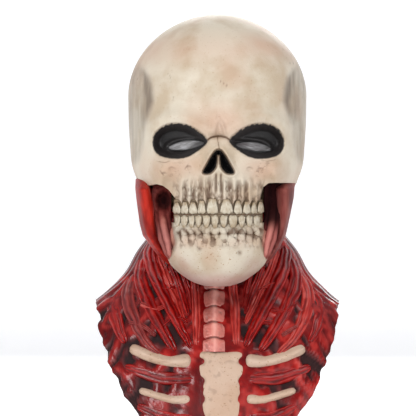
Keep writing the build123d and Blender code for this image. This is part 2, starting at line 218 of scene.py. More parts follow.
def quads(rows, cols, wrap_rows=False, wrap_cols=False, start=0, flip=False):
    """Faces of a grid of points, joined up across its ends where it wraps."""
    r = np.arange(rows if wrap_rows else rows - 1)
    c = np.arange(cols if wrap_cols else cols - 1)
    rr, cc = np.meshgrid(r, c, indexing="ij")
    r2, c2 = (rr + 1) % rows, (cc + 1) % cols
    faces = np.stack([rr * cols + cc, rr * cols + c2, r2 * cols + c2, r2 * cols + cc], -1).reshape(-1,
        4) + start
    return faces[:, ::-1] if flip else faces


def grid_object(name, points, masks=None, material=None, wrap_rows=False, wrap_cols=False, flip=False):
    """One grid of points as a mesh."""
    rows, cols = points.shape[:2]
    return mesh_object(name, points, quads(rows, cols, wrap_rows, wrap_cols, 0, flip), masks, material)


def grids_object(name, grids, material):
    """Several grids, each (points, masks), as one mesh."""
    faces, start = [], 0
    for points, _ in grids:
        rows, cols = points.shape[:2]
        faces.append(quads(rows, cols, start=start))
        start += rows * cols
    masks = {
        key: np.concatenate([np.broadcast_to(m.get(key, 0.0), p.shape[:2]).ravel() for p, m in grids])
        for key in {k for _, m in grids for k in m}
    }
    return mesh_object(name, np.concatenate([p.reshape(-1, 3) for p, _ in grids]), np.vstack(faces), masks,
                       material)


def thicken(obj, thickness):
    """Wall of the given thickness in millimetres, inwards from the sheet."""
    wall = obj.modifiers.new("wall", "SOLIDIFY")
    wall.thickness = thickness * MM
    wall.offset = -1.0
    wall.use_even_offset = False
    return obj


# ---------------------------------------------------------------- skull surface
def head_ring(z):
    """Half width, middle, depth and power of the head's outline at a level: a dome over the widest ring."""
    up = np.clip((z - WIDEST) / (CROWN - WIDEST), 0, 1)
    dome = (1 - up**1.93) ** (1 / 1.93)
    low = np.minimum(z, WIDEST)
    front, back = along(HEAD_RINGS, 2, low), along(HEAD_RINGS, 3, low)
    return along(HEAD_RINGS, 1, low) * dome, (front + back) / 2, (back - front) / 2 * dome, along(HEAD_RINGS,
        4, low)


def head_point(angle, z, inset=0.0):
    """Place on the head at an angle from the face, positive to the wearer's left, and a level, inset."""
    half, middle, depth, power = head_ring(z)
    half, depth = np.maximum(half - inset, 0), np.maximum(depth - inset, 0)
    s, c = np.sin(angle), np.cos(angle)
    x = half * np.sign(s) * np.abs(s) ** (2 / power)
    y = middle - depth * np.sign(c) * np.abs(c) ** (2 / power)
    return x, y


SOCKET_EDGE = [
    (11.7, -121.2), (17, -116), (23, -111.2), (31, -107), (39, -104.8), (47, -104.4), (54.5, -105.8),
    (61, -109.5),
    (66, -115), (68.3, -121), (68.3, -127), (66, -132.6), (60.5, -137.4), (51, -139.9), (41, -140.4),
    (32, -138.5),
    (24, -134), (17, -129), (12.8, -125),
]
LID_EDGE = [(14, -122.4), (21, -119.6), (33, -119.6), (46, -121.6), (54.5, -127.6), (48, -133.4),
            (38, -135.2), (28, -133.6), (20, -128.6)]
NOSTRIL_EDGE = [
    (0.6, -131.4), (3.2, -132.2), (6.3, -136), (9.6, -141), (13.2, -147.5), (16.4, -153.5), (15.4, -156.6),
    (9, -156.4), (4.6, -153), (2.0, -148.5), (1.1, -142), (0.9, -136),
]
CHEEK_EDGE = [
    (-100, -163), (-80, -166), (-70, -168.3), (-63, -166.8), (-56, -168.8), (-51, -173.2),
    (-47.5, -179), (-45, -184.2), (0, -184.2), (46.8, -184.2), (46.4, -178), (47.2, -170.5),
    (52, -166), (58, -165.6), (80, -165.7), (100, -163),
]
# Cracks in the bone: points in x and z, and half width
CRACKS = [
    ([(-31, -147.5), (-33.5, -150.5)], 0.6),
    ([(-60, -153), (-56.5, -157.5)], 0.7),
    ([(-63, -143), (-55, -144.5), (-50, -143)], 0.4),
    ([(-31, -163), (-34, -165.5), (-35.5, -168)], 0.5),
    ([(60, -141.5), (52, -143), (46, -142)], 0.4),
    ([(-54.5, -50.5), (-50, -53), (-48.5, -60)], 0.35),
    ([(-46, -76), (-46.5, -80)], 0.4),
    ([(3, -60), (6, -62), (12, -66)], 0.35),
]
# Shallow pits in the cheekbones and upper jaw: x, z and radius
PITS = [
    (-47.5, -152.4, 4.6), (-29.5, -150.0, 2.4), (-34.5, -171.5, 3.0), (-55.5, -156.5, 2.2),
    (33.6, -151.8, 3.6), (44.6, -152.8, 3.8), (38.2, -172.0, 2.6), (52.5, -146.5, 2.4),
]
ROOTS_UPPER = [-38, -29.5, -21.5, -13.5, -4.6, 7.5, 17.5, 26, 33.5, 41]
GAPS_UPPER = [-38.2, -30.0, -20.9, -12.0, 1.8, 16.5, 26.0, 34.8, 41.4]  # between the crowns


def face_depth(x, y, z):
    """How far each place of the face moves back, and its paint masks.

    S-curves of the distance into each outline sink the sockets, nostrils and temples, bell curves round
    each line raise the ridges, and value noise breaks up both. x and z are as seen from the front.
    """
    u, side = np.abs(x - FACE_X), np.sign(x - FACE_X)
    front = smooth(30, -25, y)
    socket = depth_inside(SOCKET_EDGE, u, z)
    nostril = depth_inside(NOSTRIL_EDGE, u, z)
    nostril = np.maximum(nostril, 2.6 - np.hypot(u, (z + 134.4) * 0.8))
    lid = hill(depth_inside(LID_EDGE, u, z), 0.2, 2.0) * smooth(4, 7, socket)
    back = 15.5 * smooth(-1.0, 8, socket) + 2.0 * smooth(4, 14, socket)
    back -= 1.6 * hill(socket, -2.4, 2.2) * smooth(-98, -118, z) + 2.2 * lid
    # brow: a ridge over each socket, drawn down towards the bridge
    brow = curve_through([(9, -113), (19, -106), (32, -99.5), (46, -96.5), (60, -99.5), (70, -108)])
    gap, _, _ = nearest(brow, u, z)
    back -= 6.0 * hill(gap, 0, 7.5) * (1 - smooth(0, 3, socket))
    back += 3.0 * hill(u, 0, 13) * hill(z, -84, 9) + 1.8 * hill(u, 38, 22) * hill(z, -78, 9)
    # bridge of the nose, under an arched seam
    back += 7.5 * hill(u, 0, 15) * hill(z, -119.5, 6.5) * (1 - smooth(-1, 3, socket))
    bridge = smooth(15, 3, u - 0.35 * np.clip(-121 - z, 0, 12)) * smooth(-116, -122, z) * smooth(-172, -140,
        z)
    back -= 7.0 * bridge * (1 - smooth(-1, 1, nostril))
    arch = curve_through([(-11, -121.2), (-7.5, -118.6), (0, -117.2), (7.5, -118.4), (11.5, -121)])
    seam, _, _ = nearest(arch, x - FACE_X, z)
    back += 1.8 * hill(seam, 0, 1.1)
    suture = hill(x - FACE_X + 0.8 * np.sin(z / 4), 0, 0.6) * smooth(-131.5, -129, z) * smooth(-116, -118.5,
        z)
    back += 0.7 * suture
    # nasal opening with its septum
    back += 11 * smooth(-0.4, 3.2, nostril)
    back -= 1.6 * hill(nostril, -2.2, 2.0)
    # cheekbones, and the face under them
    back -= 6.5 * hill(u, 58, 14) * hill(z, -154, 10)
    back += 4.5 * hill(u, 38, 11) * hill(z, -156, 9)
    upper_jaw = -39 - 68 * np.sqrt(np.clip(1 - (u / 57.5) ** 2, 0.04, 1))
    level = smooth(-140, -180, z) * smooth(62, 44, u)
    back += np.where(u < 60, (upper_jaw - y) * level, 0)
    # temples: a step down outside the temporal line
    line = np.interp(-z, [30, 55, 66, 80, 95, 106, 128, 145, 160], [86, 70, 67.5, 66, 70.5, 75, 77, 82, 92])
    step = smooth(-1.5, 6, u - line) * smooth(-28, -52, z) * smooth(-152, -138, z)
    back += 4.4 * step
    # roots of the upper teeth
    roots = sum(hill(x, centre, 2.1) for centre in ROOTS_UPPER)
    root_zone = smooth(-152, -171, z + 0.10 * u + 3 * noise(x, 0 * y, 0 * z, 7, 19)) * smooth(50, 44, u)
    back += 4.4 * (1 - np.clip(roots, 0, 1)) * root_zone - 1.8 * root_zone
    spine = np.clip(hill(x, -1.5, 1.1) + hill(x, 3.5, 1.1), 0, 1) * smooth(-154, -158, z) * smooth(-180,
        -172, z)
    back += 1.5 * spine
    between = np.min([np.abs(x - gap) for gap in GAPS_UPPER], 0)
    gum = -183.6 - 5.0 * np.exp(-((between / 1.7) ** 2))
    back -= 1.8 * np.exp(-((between / 1.9) ** 2)) * smooth(-178, -184, z) * smooth(50, 44, u)
    wobble = noise(x, y, z, 5.0, 7, 3)
    back += 1.1 * wobble * root_zone
    cracks = np.zeros(x.shape)
    for points, width in CRACKS:
        gap, _, _ = nearest(curve_through(points), x, z)
        cracks = np.maximum(cracks, hill(gap, 0, width * 1.25))
    shaded_pit_rims = np.zeros(x.shape)
    for pit_x, pit_z, radius in PITS:
        away = np.hypot(x - pit_x, 1.25 * (z - pit_z)) + 0.9 * noise(x, y, z, 2.6, 67, 2)
        back += 1.5 * smooth(radius, 0.3 * radius, away)
        # Painted shade on the upper inner rim of each pit, the side that light from above misses
        shaded_pit_rims = np.maximum(shaded_pit_rims, hill(away, 0.8 * radius, 1.1) * smooth(-0.3, 0.9, (z - pit_z) / radius))
    back += 0.9 * cracks + 0.35 * noise(x, y, z, 14, 3, 3) + 0.5 * noise(x, y, z, 40, 5)
    frown = np.clip(1.6 * noise(x * 1.0 + 0.25 * side * (z + 100), 0 * y, z * 0.22, 3.2, 11, 2), 0, 1)
    frown = frown * hill(x - FACE_X, 0, 15) * hill(z, -106, 14)
    back += 1.1 * frown
    creases = np.clip(noise(x * 0.16, 0 * y, z + 0.0035 * x**2, 2.4, 13, 2) - 0.15, 0, 1) * hill(z, -72, 26)
    back += 0.35 * creases
    fuzz = noise(x, y, z, 1.8, 21, 2)
    ink_and_shade = smooth(-1.4, 0.9, socket + fuzz * mix(0.5, 1.9, smooth(-125, -108, z)))
    ink_and_shade = np.maximum(ink_and_shade, smooth(0.0, 1.2, nostril))
    # On the lid ridges the black paint thins: a painted highlight. Deep in each socket it gets an extra dark
    # coat: painted shade on the socket floor
    ink_and_shade = ink_and_shade * (1 - 0.18 * lid) + 0.6 * smooth(3, 9, socket)
    wash = 0.5 * cracks * smooth(-0.5, 0.3, fuzz + 0.3) + 0.45 * shaded_pit_rims + 1.2 * hill(seam, 0, 1.0)
    wash = np.clip(wash + 0.8 * suture + 0.75 * hill(nostril, -0.3, 0.8), 0, 1)
    wash = np.maximum(wash, 0.35 * frown)
    tan_flecks = smooth(0.35, 0.8, noise(x, y, z, 3.2, 25, 2))
    wash = np.maximum(wash, 0.35 * tan_flecks * hill(z, -152, 13) * hill(u, 42, 20))
    stained = smooth(-0.15, 0.35, noise(x, y, z * 0.42, 3.6, 17, 3) + 0.12)
    veins = hill(noise(x, 0 * y, z * 0.42, 4.2, 61, 2), 0.1, 0.1)
    back += 1.0 * veins * root_zone
    pores = hill(noise(x, 0 * y, z, 4.6, 63, 2), 0.3, 0.06) * hill(z, -153, 9) * hill(u, 44, 16)
    pores = pores * (1 - smooth(-3, 0, socket))
    back += 0.7 * pores
    wash = np.maximum(wash, np.maximum(0.6 * veins * root_zone, 0.5 * pores))
    wash = np.maximum(wash, 0.95 * (0.1 + 0.9 * np.clip(1 - roots * 1.1, 0, 1)) * root_zone * stained)
    wash = np.maximum(wash, 0.9 * spine)
    wash = np.maximum(wash, 0.85 * hill(z - gum, 0, 0.9) * smooth(50, 44, u))
    wash = np.maximum(wash, 0.55 * hill(socket, -0.6, 1.2) * smooth(-128, -112, z))
    temple_grey = 0.42 + 0.75 * hill(z, -74, 24) * hill(u, line + 4, 6)
    temple_grey = temple_grey + 0.35 * noise(x * 1.6, y * 0.2, z * 0.12, 3.0, 29, 2)
    grey = step * np.clip(temple_grey, 0, 1)
    grey = grey * smooth(52, -22, y)
    flecks = smooth(0.25, 0.7, noise(x, y, z, 2.6, 37, 2))
    temple_line = np.interp(-z, [21, 45, 74, 96], [70, 84, 88, 80])
    beside = hill(x - temple_line, 0, 6) + hill(x + 85, 0, 6) * hill(z, -57, 12)
    speckle = flecks * beside * smooth(-15, -25, z) * smooth(-104, -92, z)
    grey = np.clip(np.maximum(grey, 0.9 * speckle), 0, 1)
    patches = np.clip(noise(x, y, z, 34, 65, 3) + 0.12, 0, 1) * 0.8
    blush = patches + hill(x - FACE_X, 0, 26) * hill(z, -103, 17)
    blush = blush + 0.9 * hill(u, 45, 22) * hill(z, -150, 12)
    blush = np.clip(blush + 0.5 * hill(z, -25, 18), 0, 1)
    return back * front, {"ink_and_shade": ink_and_shade * front, "wash": wash * front, "grey": grey, "blush": blush * front}


def skull_points():
    """Outer wall of the cranium, face and upper jaw: superellipse rings from the crown down, moved back by
    face_depth, their last rows drawn to the lower edge.
    """
    turn = np.linspace(-np.pi, np.pi, 317)[:-1]
    angle = turn - 0.68 * np.sin(turn)
    slot = np.array([0.6, 1.1, 1.8]) / 115
    angle = np.sort(np.concatenate([angle, np.pi - slot, slot - np.pi]))
    dome = WIDEST + (CROWN - WIDEST) * np.cos(np.linspace(0, np.pi / 2, 64)[:-1])
    level = np.concatenate([dome, np.linspace(WIDEST, UPPER_GUM, 148)])
    a, z = np.meshgrid(angle, level)
    x0, y0 = head_point(angle, np.full(angle.shape, -172.0))
    edge = np.interp(x0, *np.array(CHEEK_EDGE, float).T)
    between = np.min([np.abs(x0 - gap) for gap in GAPS_UPPER], 0)
    edge = edge - (5.2 * np.exp(-((between / 1.7) ** 2)) - 0.8) * smooth(47, 44, np.abs(x0))
    lowest = mix(edge, RIM, smooth(8, 26, y0))
    reach = (BEND_FROM - lowest) / (BEND_FROM - UPPER_GUM)
    z = np.where(z < BEND_FROM, BEND_FROM - (BEND_FROM - z) * reach[None, :], z)
    x, y = head_point(a, z)
    back, masks = face_depth(x, y, z)
    slit = hill(x, 0, 0.8) * (y > 60) * smooth(-144, -147, z)
    out = np.stack([x, y + back - 2.4 * slit, z], -1)
    masks["wash"] = np.maximum(masks["wash"], slit)
    return out, masks, a


def skull():
    """Outer wall, inner wall a latex thickness inside it and behind the sockets, and the rim between."""
    outer, masks, angle = skull_points()
    rows = np.concatenate([np.arange(0, 63, 6), np.arange(63, outer.shape[0] - 1, 8), [outer.shape[0] - 1]])
    z = outer[rows, :, 2]
    x, y = head_point(angle[rows], z, WALL)
    recess = np.maximum(outer[..., 1] - head_point(angle, outer[..., 2])[1], 0) * (np.cos(angle) > 0)
    for axis, reach in ((0, 9), (1, 10)):
        recess = np.max([np.roll(recess, k, axis) for k in range(-reach, reach + 1)], 0)
    deep = recess[rows]
    z = np.where(z > WIDEST, WIDEST + (z - WIDEST) * (1 - WALL / (CROWN - WIDEST)), z)
    inner = np.stack([x, y + deep, z], -1)
    rim = np.stack([outer[-1], inner[-1]])
    count, cols = outer.shape[0], outer.shape[1]
    faces = [quads(count, cols, False, True)]
    faces.append(quads(len(rows), cols, False, True, count * cols, flip=True))
    faces.append(quads(2, cols, False, True, (count + len(rows)) * cols))
    points = np.concatenate([outer.reshape(-1, 3), inner.reshape(-1, 3), rim.reshape(-1, 3)])
    inside = np.zeros(len(rows) * cols)
    full = {k: np.concatenate([v.ravel(), inside, np.zeros(2 * cols)]) for k, v in masks.items()}
    full["lining"] = np.concatenate([np.zeros(count * cols), inside + 1, np.zeros(2 * cols)])
    return mesh_object("skull_skin", points, np.vstack(faces)[:, ::-1], full, BONE)


# ---------------------------------------------------------------- materials
def new_group(name, inputs, outputs):
    """Empty node group with the given float inputs and (name, kind) outputs."""
    group = bpy.data.node_groups.new(name, "ShaderNodeTree")
    for label, value in inputs:
        socket = group.interface.new_socket(label, in_out="INPUT", socket_type="NodeSocketFloat")
        socket.default_value = value
    for label, kind in outputs:
        group.interface.new_socket(label, in_out="OUTPUT", socket_type=kind)
    return group, group.nodes.new("NodeGroupInput"), group.nodes.new("NodeGroupOutput")


def speckle_group():
    """Grain of painted latex: broad mottling, fine stipple and a small bump, from Object coordinates."""
    group, ins, out = new_group(
        "painted_grain",
        [("Mottle", 18.0), ("Stipple", 900.0), ("Threshold", 0.66)],
        [("Mottle", "NodeSocketFloat"), ("Stipple", "NodeSocketFloat"), ("Height", "NodeSocketFloat")],
    )
    nodes, links = group.nodes, group.links
    coords = nodes.new("ShaderNodeTexCoord").outputs["Object"]
    broad = nodes.new("ShaderNodeTexNoise")
    broad.inputs["Detail"].default_value = 4
    fine = nodes.new("ShaderNodeTexNoise")
    fine.inputs["Detail"].default_value = 2
    ramp = nodes.new("ShaderNodeMapRange")
    ramp.inputs["To Min"].default_value, ramp.inputs["To Max"].default_value = 0, 1
    top = nodes.new("ShaderNodeMath")
    top.operation, top.inputs[1].default_value = "ADD", 0.06
    for noise_node, scale in ((broad, "Mottle"), (fine, "Stipple")):
        links.new(coords, noise_node.inputs["Vector"])
        links.new(ins.outputs[scale], noise_node.inputs["Scale"])
    links.new(ins.outputs["Threshold"], ramp.inputs["From Min"])
    links.new(ins.outputs["Threshold"], top.inputs[0])
    links.new(top.outputs[0], ramp.inputs["From Max"])
    links.new(fine.outputs["Fac"], ramp.inputs["Value"])
    links.new(broad.outputs["Fac"], out.inputs["Mottle"])
    links.new(ramp.outputs["Result"], out.inputs["Stipple"])
    links.new(fine.outputs["Fac"], out.inputs["Height"])
    return group


class Paint:
    """Lays coloured coats over each other in a material and gives them to its Principled BSDF."""

    def __init__(self, name, rough=0.55, bump=0.0, grain=(18.0, 900.0, 0.66), gloss=0.3, subsurface=0.0):
        self.material = bpy.data.materials.new(name)
        self.material.use_nodes = True
        self.nodes, self.links = self.material.node_tree.nodes, self.material.node_tree.links
        self.shader = self.nodes["Principled BSDF"]
        self.shader.inputs["Roughness"].default_value = rough
        self.shader.inputs["Specular IOR Level"].default_value = gloss
        if subsurface:
            self.shader.inputs["Subsurface Weight"].default_value = subsurface
            self.shader.inputs["Subsurface Radius"].default_value = (1.0, 0.4, 0.25)
            self.shader.inputs["Subsurface Scale"].default_value = 0.003
        self.grain = self.nodes.new("ShaderNodeGroup")
        self.grain.node_tree = GRAIN
        for socket, value in zip(self.grain.inputs, grain):
            socket.default_value = value
        if bump:
            relief = self.nodes.new("ShaderNodeBump")
            relief.inputs["Strength"].default_value = bump
            relief.inputs["Distance"].default_value = 0.0006
            self.links.new(self.grain.outputs["Height"], relief.inputs["Height"])
            self.links.new(relief.outputs["Normal"], self.shader.inputs["Normal"])
        self.colour = None

    def ground(self, colour):
        """First, plain coat."""
        base = self.nodes.new("ShaderNodeRGB")
        base.outputs[0].default_value = (*colour, 1)
        self.colour = base.outputs[0]
        return self

    def mask(self, name):
        """A painted mask of the mesh."""
        layer = self.nodes.new("ShaderNodeAttribute")
        layer.attribute_name = name
        return layer.outputs["Fac"]

    def math(self, kind, a, b):
        """Two values or sockets put together by the named operation."""
        node = self.nodes.new("ShaderNodeMath")
        node.operation = kind
        for socket, value in zip(node.inputs, (a, b)):
            if isinstance(value, (int, float)):
                socket.default_value = value
            else:
                self.links.new(value, socket)
        return node.outputs[0]

    def window(self, value, low, high, strength=1.0):
        """0 below low, strength above high."""
        node = self.nodes.new("ShaderNodeMapRange")
        node.inputs["From Min"].default_value, node.inputs["From Max"].default_value = low, high
        node.inputs["To Max"].default_value = strength
        self.links.new(value, node.inputs["Value"])
        return node.outputs["Result"]

    def coat(self, colour, amount):
        """Another coat, as thick as amount says."""
        blend = self.nodes.new("ShaderNodeMix")
        blend.data_type = "RGBA"
        self.links.new(self.colour, blend.inputs[6])
        blend.inputs[7].default_value = (*colour, 1)
        if isinstance(amount, (int, float)):
            blend.inputs[0].default_value = amount
        else:
            self.links.new(amount, blend.inputs[0])
        self.colour = blend.outputs[2]
        return self

    def done(self):
        """Gives the shader its colour and returns the material."""
        self.links.new(self.colour, self.shader.inputs["Base Color"])
        return self.material


def rgb(red, green, blue):
    """Linear colour from a screen colour of 0 to 255."""
    c = np.array([red, green, blue]) / 255
    return tuple(np.where(c <= 0.04045, c / 12.92, ((c + 0.055) / 1.055) ** 2.4))


GRAIN = speckle_group()


def bone_material():
    """Cream latex bone: pink and tan mottling, brown wash in cracks joined by painted shade in pits, grooves,
    dents and at part edges, charcoal sockets painted darker deep inside as shade, grey-brown temples, and
    painted highlight and shade on the folds of the jaw's tissue.
    """
    p = Paint("bone_latex", rough=0.46, bump=0.45, grain=(26.0, 520.0, 0.66), gloss=0.35)
    p.ground(rgb(198, 188, 170))
    p.coat(rgb(172, 152, 126), p.window(p.grain.outputs["Mottle"], 0.42, 0.62, 0.75))
    p.coat(rgb(186, 146, 122), p.math("MULTIPLY", p.mask("blush"), 0.62))
    p.coat(rgb(142, 104, 66),
           p.math("MULTIPLY", p.grain.outputs["Stipple"], p.math("ADD", 0.35, p.mask("speck"))))
    p.coat(rgb(104, 90, 76), p.math("MULTIPLY", p.mask("grey"), 0.85))
    p.coat(rgb(172, 130, 128), p.math("MULTIPLY", p.mask("lilac"), 0.7))
    p.coat(rgb(124, 66, 56), p.mask("flesh"))
    # Fold coats: on the jaw's tissue a painted highlight on the fold ridges and painted shade in the troughs;
    # on the strands a random tone
    p.coat(rgb(180, 126, 108), p.math("MULTIPLY", p.mask("flesh"), p.window(p.mask("fold_tone_and_shading"), 0.5, 0.9, 0.85)))
    p.coat(rgb(44, 16, 16), p.math("MULTIPLY", p.mask("flesh"), p.window(p.mask("fold_tone_and_shading"), 0.4, 0.05, 0.9)))
    # Brown coat: real wash in cracks and root grooves, together with painted shade in recesses and at the
    # edges of parts
    p.coat(rgb(92, 66, 46), p.window(p.mask("wash"), 0.05, 0.9, 0.93))
    # Charcoal coat: the black paint of the sockets and nose, held back on the lid ridges as a painted
    # highlight
    p.coat(rgb(42, 38, 37), p.window(p.mask("ink_and_shade"), 0.12, 0.78))
    # Darkest coat: painted shade deep in the sockets, over the black paint
    p.coat(rgb(26, 24, 24), p.window(p.mask("ink_and_shade"), 1.0, 1.6, 0.9))
    p.coat(rgb(176, 160, 132), p.mask("lining"))
    return p.done()


def tooth_material():
    """Ivory teeth, browner at the gum, and darker down the sides and in the hollows between the lumps as
    painted shade.
    """
    p = Paint("tooth_latex", rough=0.38, bump=0.1, grain=(60.0, 900.0, 0.72), gloss=0.4)
    p.ground(rgb(196, 188, 170))
    p.coat(rgb(160, 140, 108), p.window(p.grain.outputs["Mottle"], 0.4, 0.7, 0.5))
    p.coat(rgb(138, 114, 82), p.math("MULTIPLY", p.mask("stain"), 0.8))
    # Brown coat: wash at the gum and biting edge, and painted shade down the sides of each crown and between
    # its lumps
    p.coat(rgb(72, 54, 38), p.window(p.mask("wash"), 0.25, 0.95, 0.94))
    return p.done()


def flesh_material(name, deep, middle, bright, gloss=0.3, rough=0.17):
    """Wet-looking muscle: deep red in the grooves and towards the edges, partly as painted shade, brighter
    along the fibres and on raised ridges, partly as painted highlight, with painted pink highlights and
    glints and near-black painted shade in the hollows.
    """
    p = Paint(name, rough=rough, bump=0.25, grain=(30.0, 420.0, 0.72), gloss=gloss)
    p.ground(deep)
    p.coat(middle, p.window(p.mask("fibre"), 0.15, 0.6))
    p.coat(bright, p.window(p.mask("fibre"), 0.55, 1.05, 0.85))
    p.coat(rgb(60, 10, 12), p.window(p.grain.outputs["Mottle"], 0.5, 0.7, 0.5))
    # Pinkish-white coat: painted highlights and glints on the wet muscle, with some paler paint
    p.coat(rgb(226, 150, 142), p.math("MULTIPLY", p.mask("pale_and_glint"), 0.7))
    # Near-black coat: painted shade in pits, holes, creases and along edges, where the surface is also made
    # rougher
    p.coat(rgb(30, 8, 9), p.mask("hollow_shade"))
    p.links.new(p.math("ADD", rough, p.window(p.mask("hollow_shade"), 0.2, 0.9, 0.6)), p.shader.inputs["Roughness"])
    return p.done()


def plain_material(name, colour, rough, metal=0.0, bump=0.0, scale=900.0, gloss=0.4):
    """One colour with a little grain."""
    p = Paint(name, rough=rough, bump=bump, grain=(40.0, scale, 0.7), gloss=gloss)
    p.ground(colour)
    p.coat(tuple(0.6 * c for c in colour), p.window(p.grain.outputs["Mottle"], 0.45, 0.75, 0.5))
    p.shader.inputs["Metallic"].default_value = metal
    return p.done()


def screen_material():
    """Silver-grey woven screen with streaks."""
    p = Paint("screen_mesh", rough=0.32, bump=0.3, grain=(30.0, 2600.0, 0.5), gloss=0.5)
    p.ground(rgb(120, 118, 118))
    p.coat(rgb(178, 178, 180), p.window(p.mask("streak"), 0.5, 0.9, 0.8))
    p.coat(rgb(74, 66, 66), p.window(p.mask("streak"), 0.5, 0.1, 0.8))
    p.coat(rgb(28, 27, 27), p.mask("edge"))
    return p.done()


BONE = bone_material()
TOOTH = tooth_material()
MUSCLE_RED = flesh_material("muscle_red", rgb(62, 5, 7), rgb(132, 12, 10), rgb(184, 28, 18))
MASSETER_RED = flesh_material("masseter_red", rgb(84, 10, 9), rgb(134, 22, 14), rgb(176, 40, 26), gloss=0.12,
                              rough=0.45)
MASSETER_DUSK = flesh_material("masseter_dusk", rgb(72, 26, 26), rgb(108, 48, 44), rgb(136, 76, 68),
                               gloss=0.1, rough=0.55)
MUSCLE_PINK = flesh_material("muscle_pink", rgb(96, 14, 14), rgb(164, 38, 32), rgb(208, 84, 72))
MUSCLE_DUSK = flesh_material("muscle_dusk", rgb(66, 18, 20), rgb(132, 44, 42), rgb(170, 76, 68))
CHEEK = flesh_material("cheek_flesh", rgb(70, 16, 16), rgb(124, 56, 50), rgb(186, 122, 104), gloss=0.1,
                       rough=0.6)
CARTILAGE = flesh_material("cartilage", rgb(150, 66, 60), rgb(206, 122, 110), rgb(236, 178, 160))
SCREEN = screen_material()
DARK_MESH = plain_material("dark_mesh", rgb(16, 15, 15), 0.9, bump=0.2, scale=2600.0, gloss=0.05)
FOAM = plain_material("foam", rgb(58, 58, 62), 0.9, bump=0.6, scale=1500.0)
PLASTIC = plain_material("moulding", rgb(34, 34, 36), 0.45, bump=0.1)
STEEL = plain_material("steel", rgb(176, 178, 182), 0.32, metal=1.0)
WEBBING = plain_material("webbing", rgb(40, 34, 34), 0.85, bump=0.5, scale=1800.0)
HOOKS = plain_material("hook_and_loop", rgb(30, 30, 32), 0.95, bump=0.9, scale=2200.0)


# ---------------------------------------------------------------- face pieces
def skull_surface_y(x, z, side_step=0.0):
    """Front of the sculpted face at places given by x and z."""
    half, middle, depth, power = head_ring(np.asarray(z, float))
    y = middle - depth * (1 - np.clip(np.abs(x) / half, 0, 1) ** power) ** (1 / power)
    return y + face_depth(np.asarray(x, float), y, np.asarray(z, float))[0]


def sight_slit(side):
    """Almond of woven screen lying on the floor of a socket, its rim dark."""
    across = np.linspace(-1, 1, 49)
    up = np.linspace(-1, 1, 17)
    t, v = np.meshgrid(across, up)
    half_width, half_height = 19.7, 5.6
    middle_x, middle_z = (34.5, -127.0) if side < 0 else (38.0, -128.6)
    shape = np.clip(1 - np.abs(t) ** 1.9, 0, 1) ** 0.72
    along_x = half_width * t
    lift = half_height * (0.92 * shape * v + 0.12 * shape)
    tilt = math.radians(-7.5)
    u = middle_x + along_x * math.cos(tilt) - lift * math.sin(tilt)
    z = middle_z + along_x * math.sin(tilt) + lift * math.cos(tilt)
    x = FACE_X + side * (u - FACE_X)
    y = skull_surface_y(x, z) - 1.6 - 1.0 * shape * (1 - v * v)
    edge = smooth(0.62, 0.95, np.abs(v)) + smooth(0.86, 0.98, np.abs(t)) + 0.35 * smooth(0.1, 0.9, t * side)
    streak = 0.5 + 0.6 * noise(along_x * 0.35, lift * 0, lift * 2.2 + 0.2 * along_x, 2.2, 31 + side, 3)
    streak = streak - 0.12 * (side > 0)
    masks = {"edge": np.clip(edge, 0, 1), "streak": np.clip(streak, 0, 1)}
    name = f"eye_slit_{'left' if side > 0 else 'right'}"
    obj = grid_object(name, np.stack([x, y, z], -1), masks, SCREEN, flip=side < 0)
    return thicken(obj, 0.8)


def nose_panel():
    """Dark woven panel behind the nasal opening."""
    t, v = np.meshgrid(np.linspace(-1, 1, 15), np.linspace(0, 1, 15))
    half = 2.5 + 12.5 * v**0.8
    x, z = FACE_X + half * t, -133.5 - 22.0 * v
    beside_septum = np.where(np.abs(t) < 0.5, x + 6 * np.sign(t + 1e-6), x)
    y = np.full(x.shape, skull_surface_y(beside_septum, z).max() - 0.7)
    obj = grid_object("nose_panel", np.stack([x, y, z], -1), {}, DARK_MESH)
    return thicken(obj, 0.8)


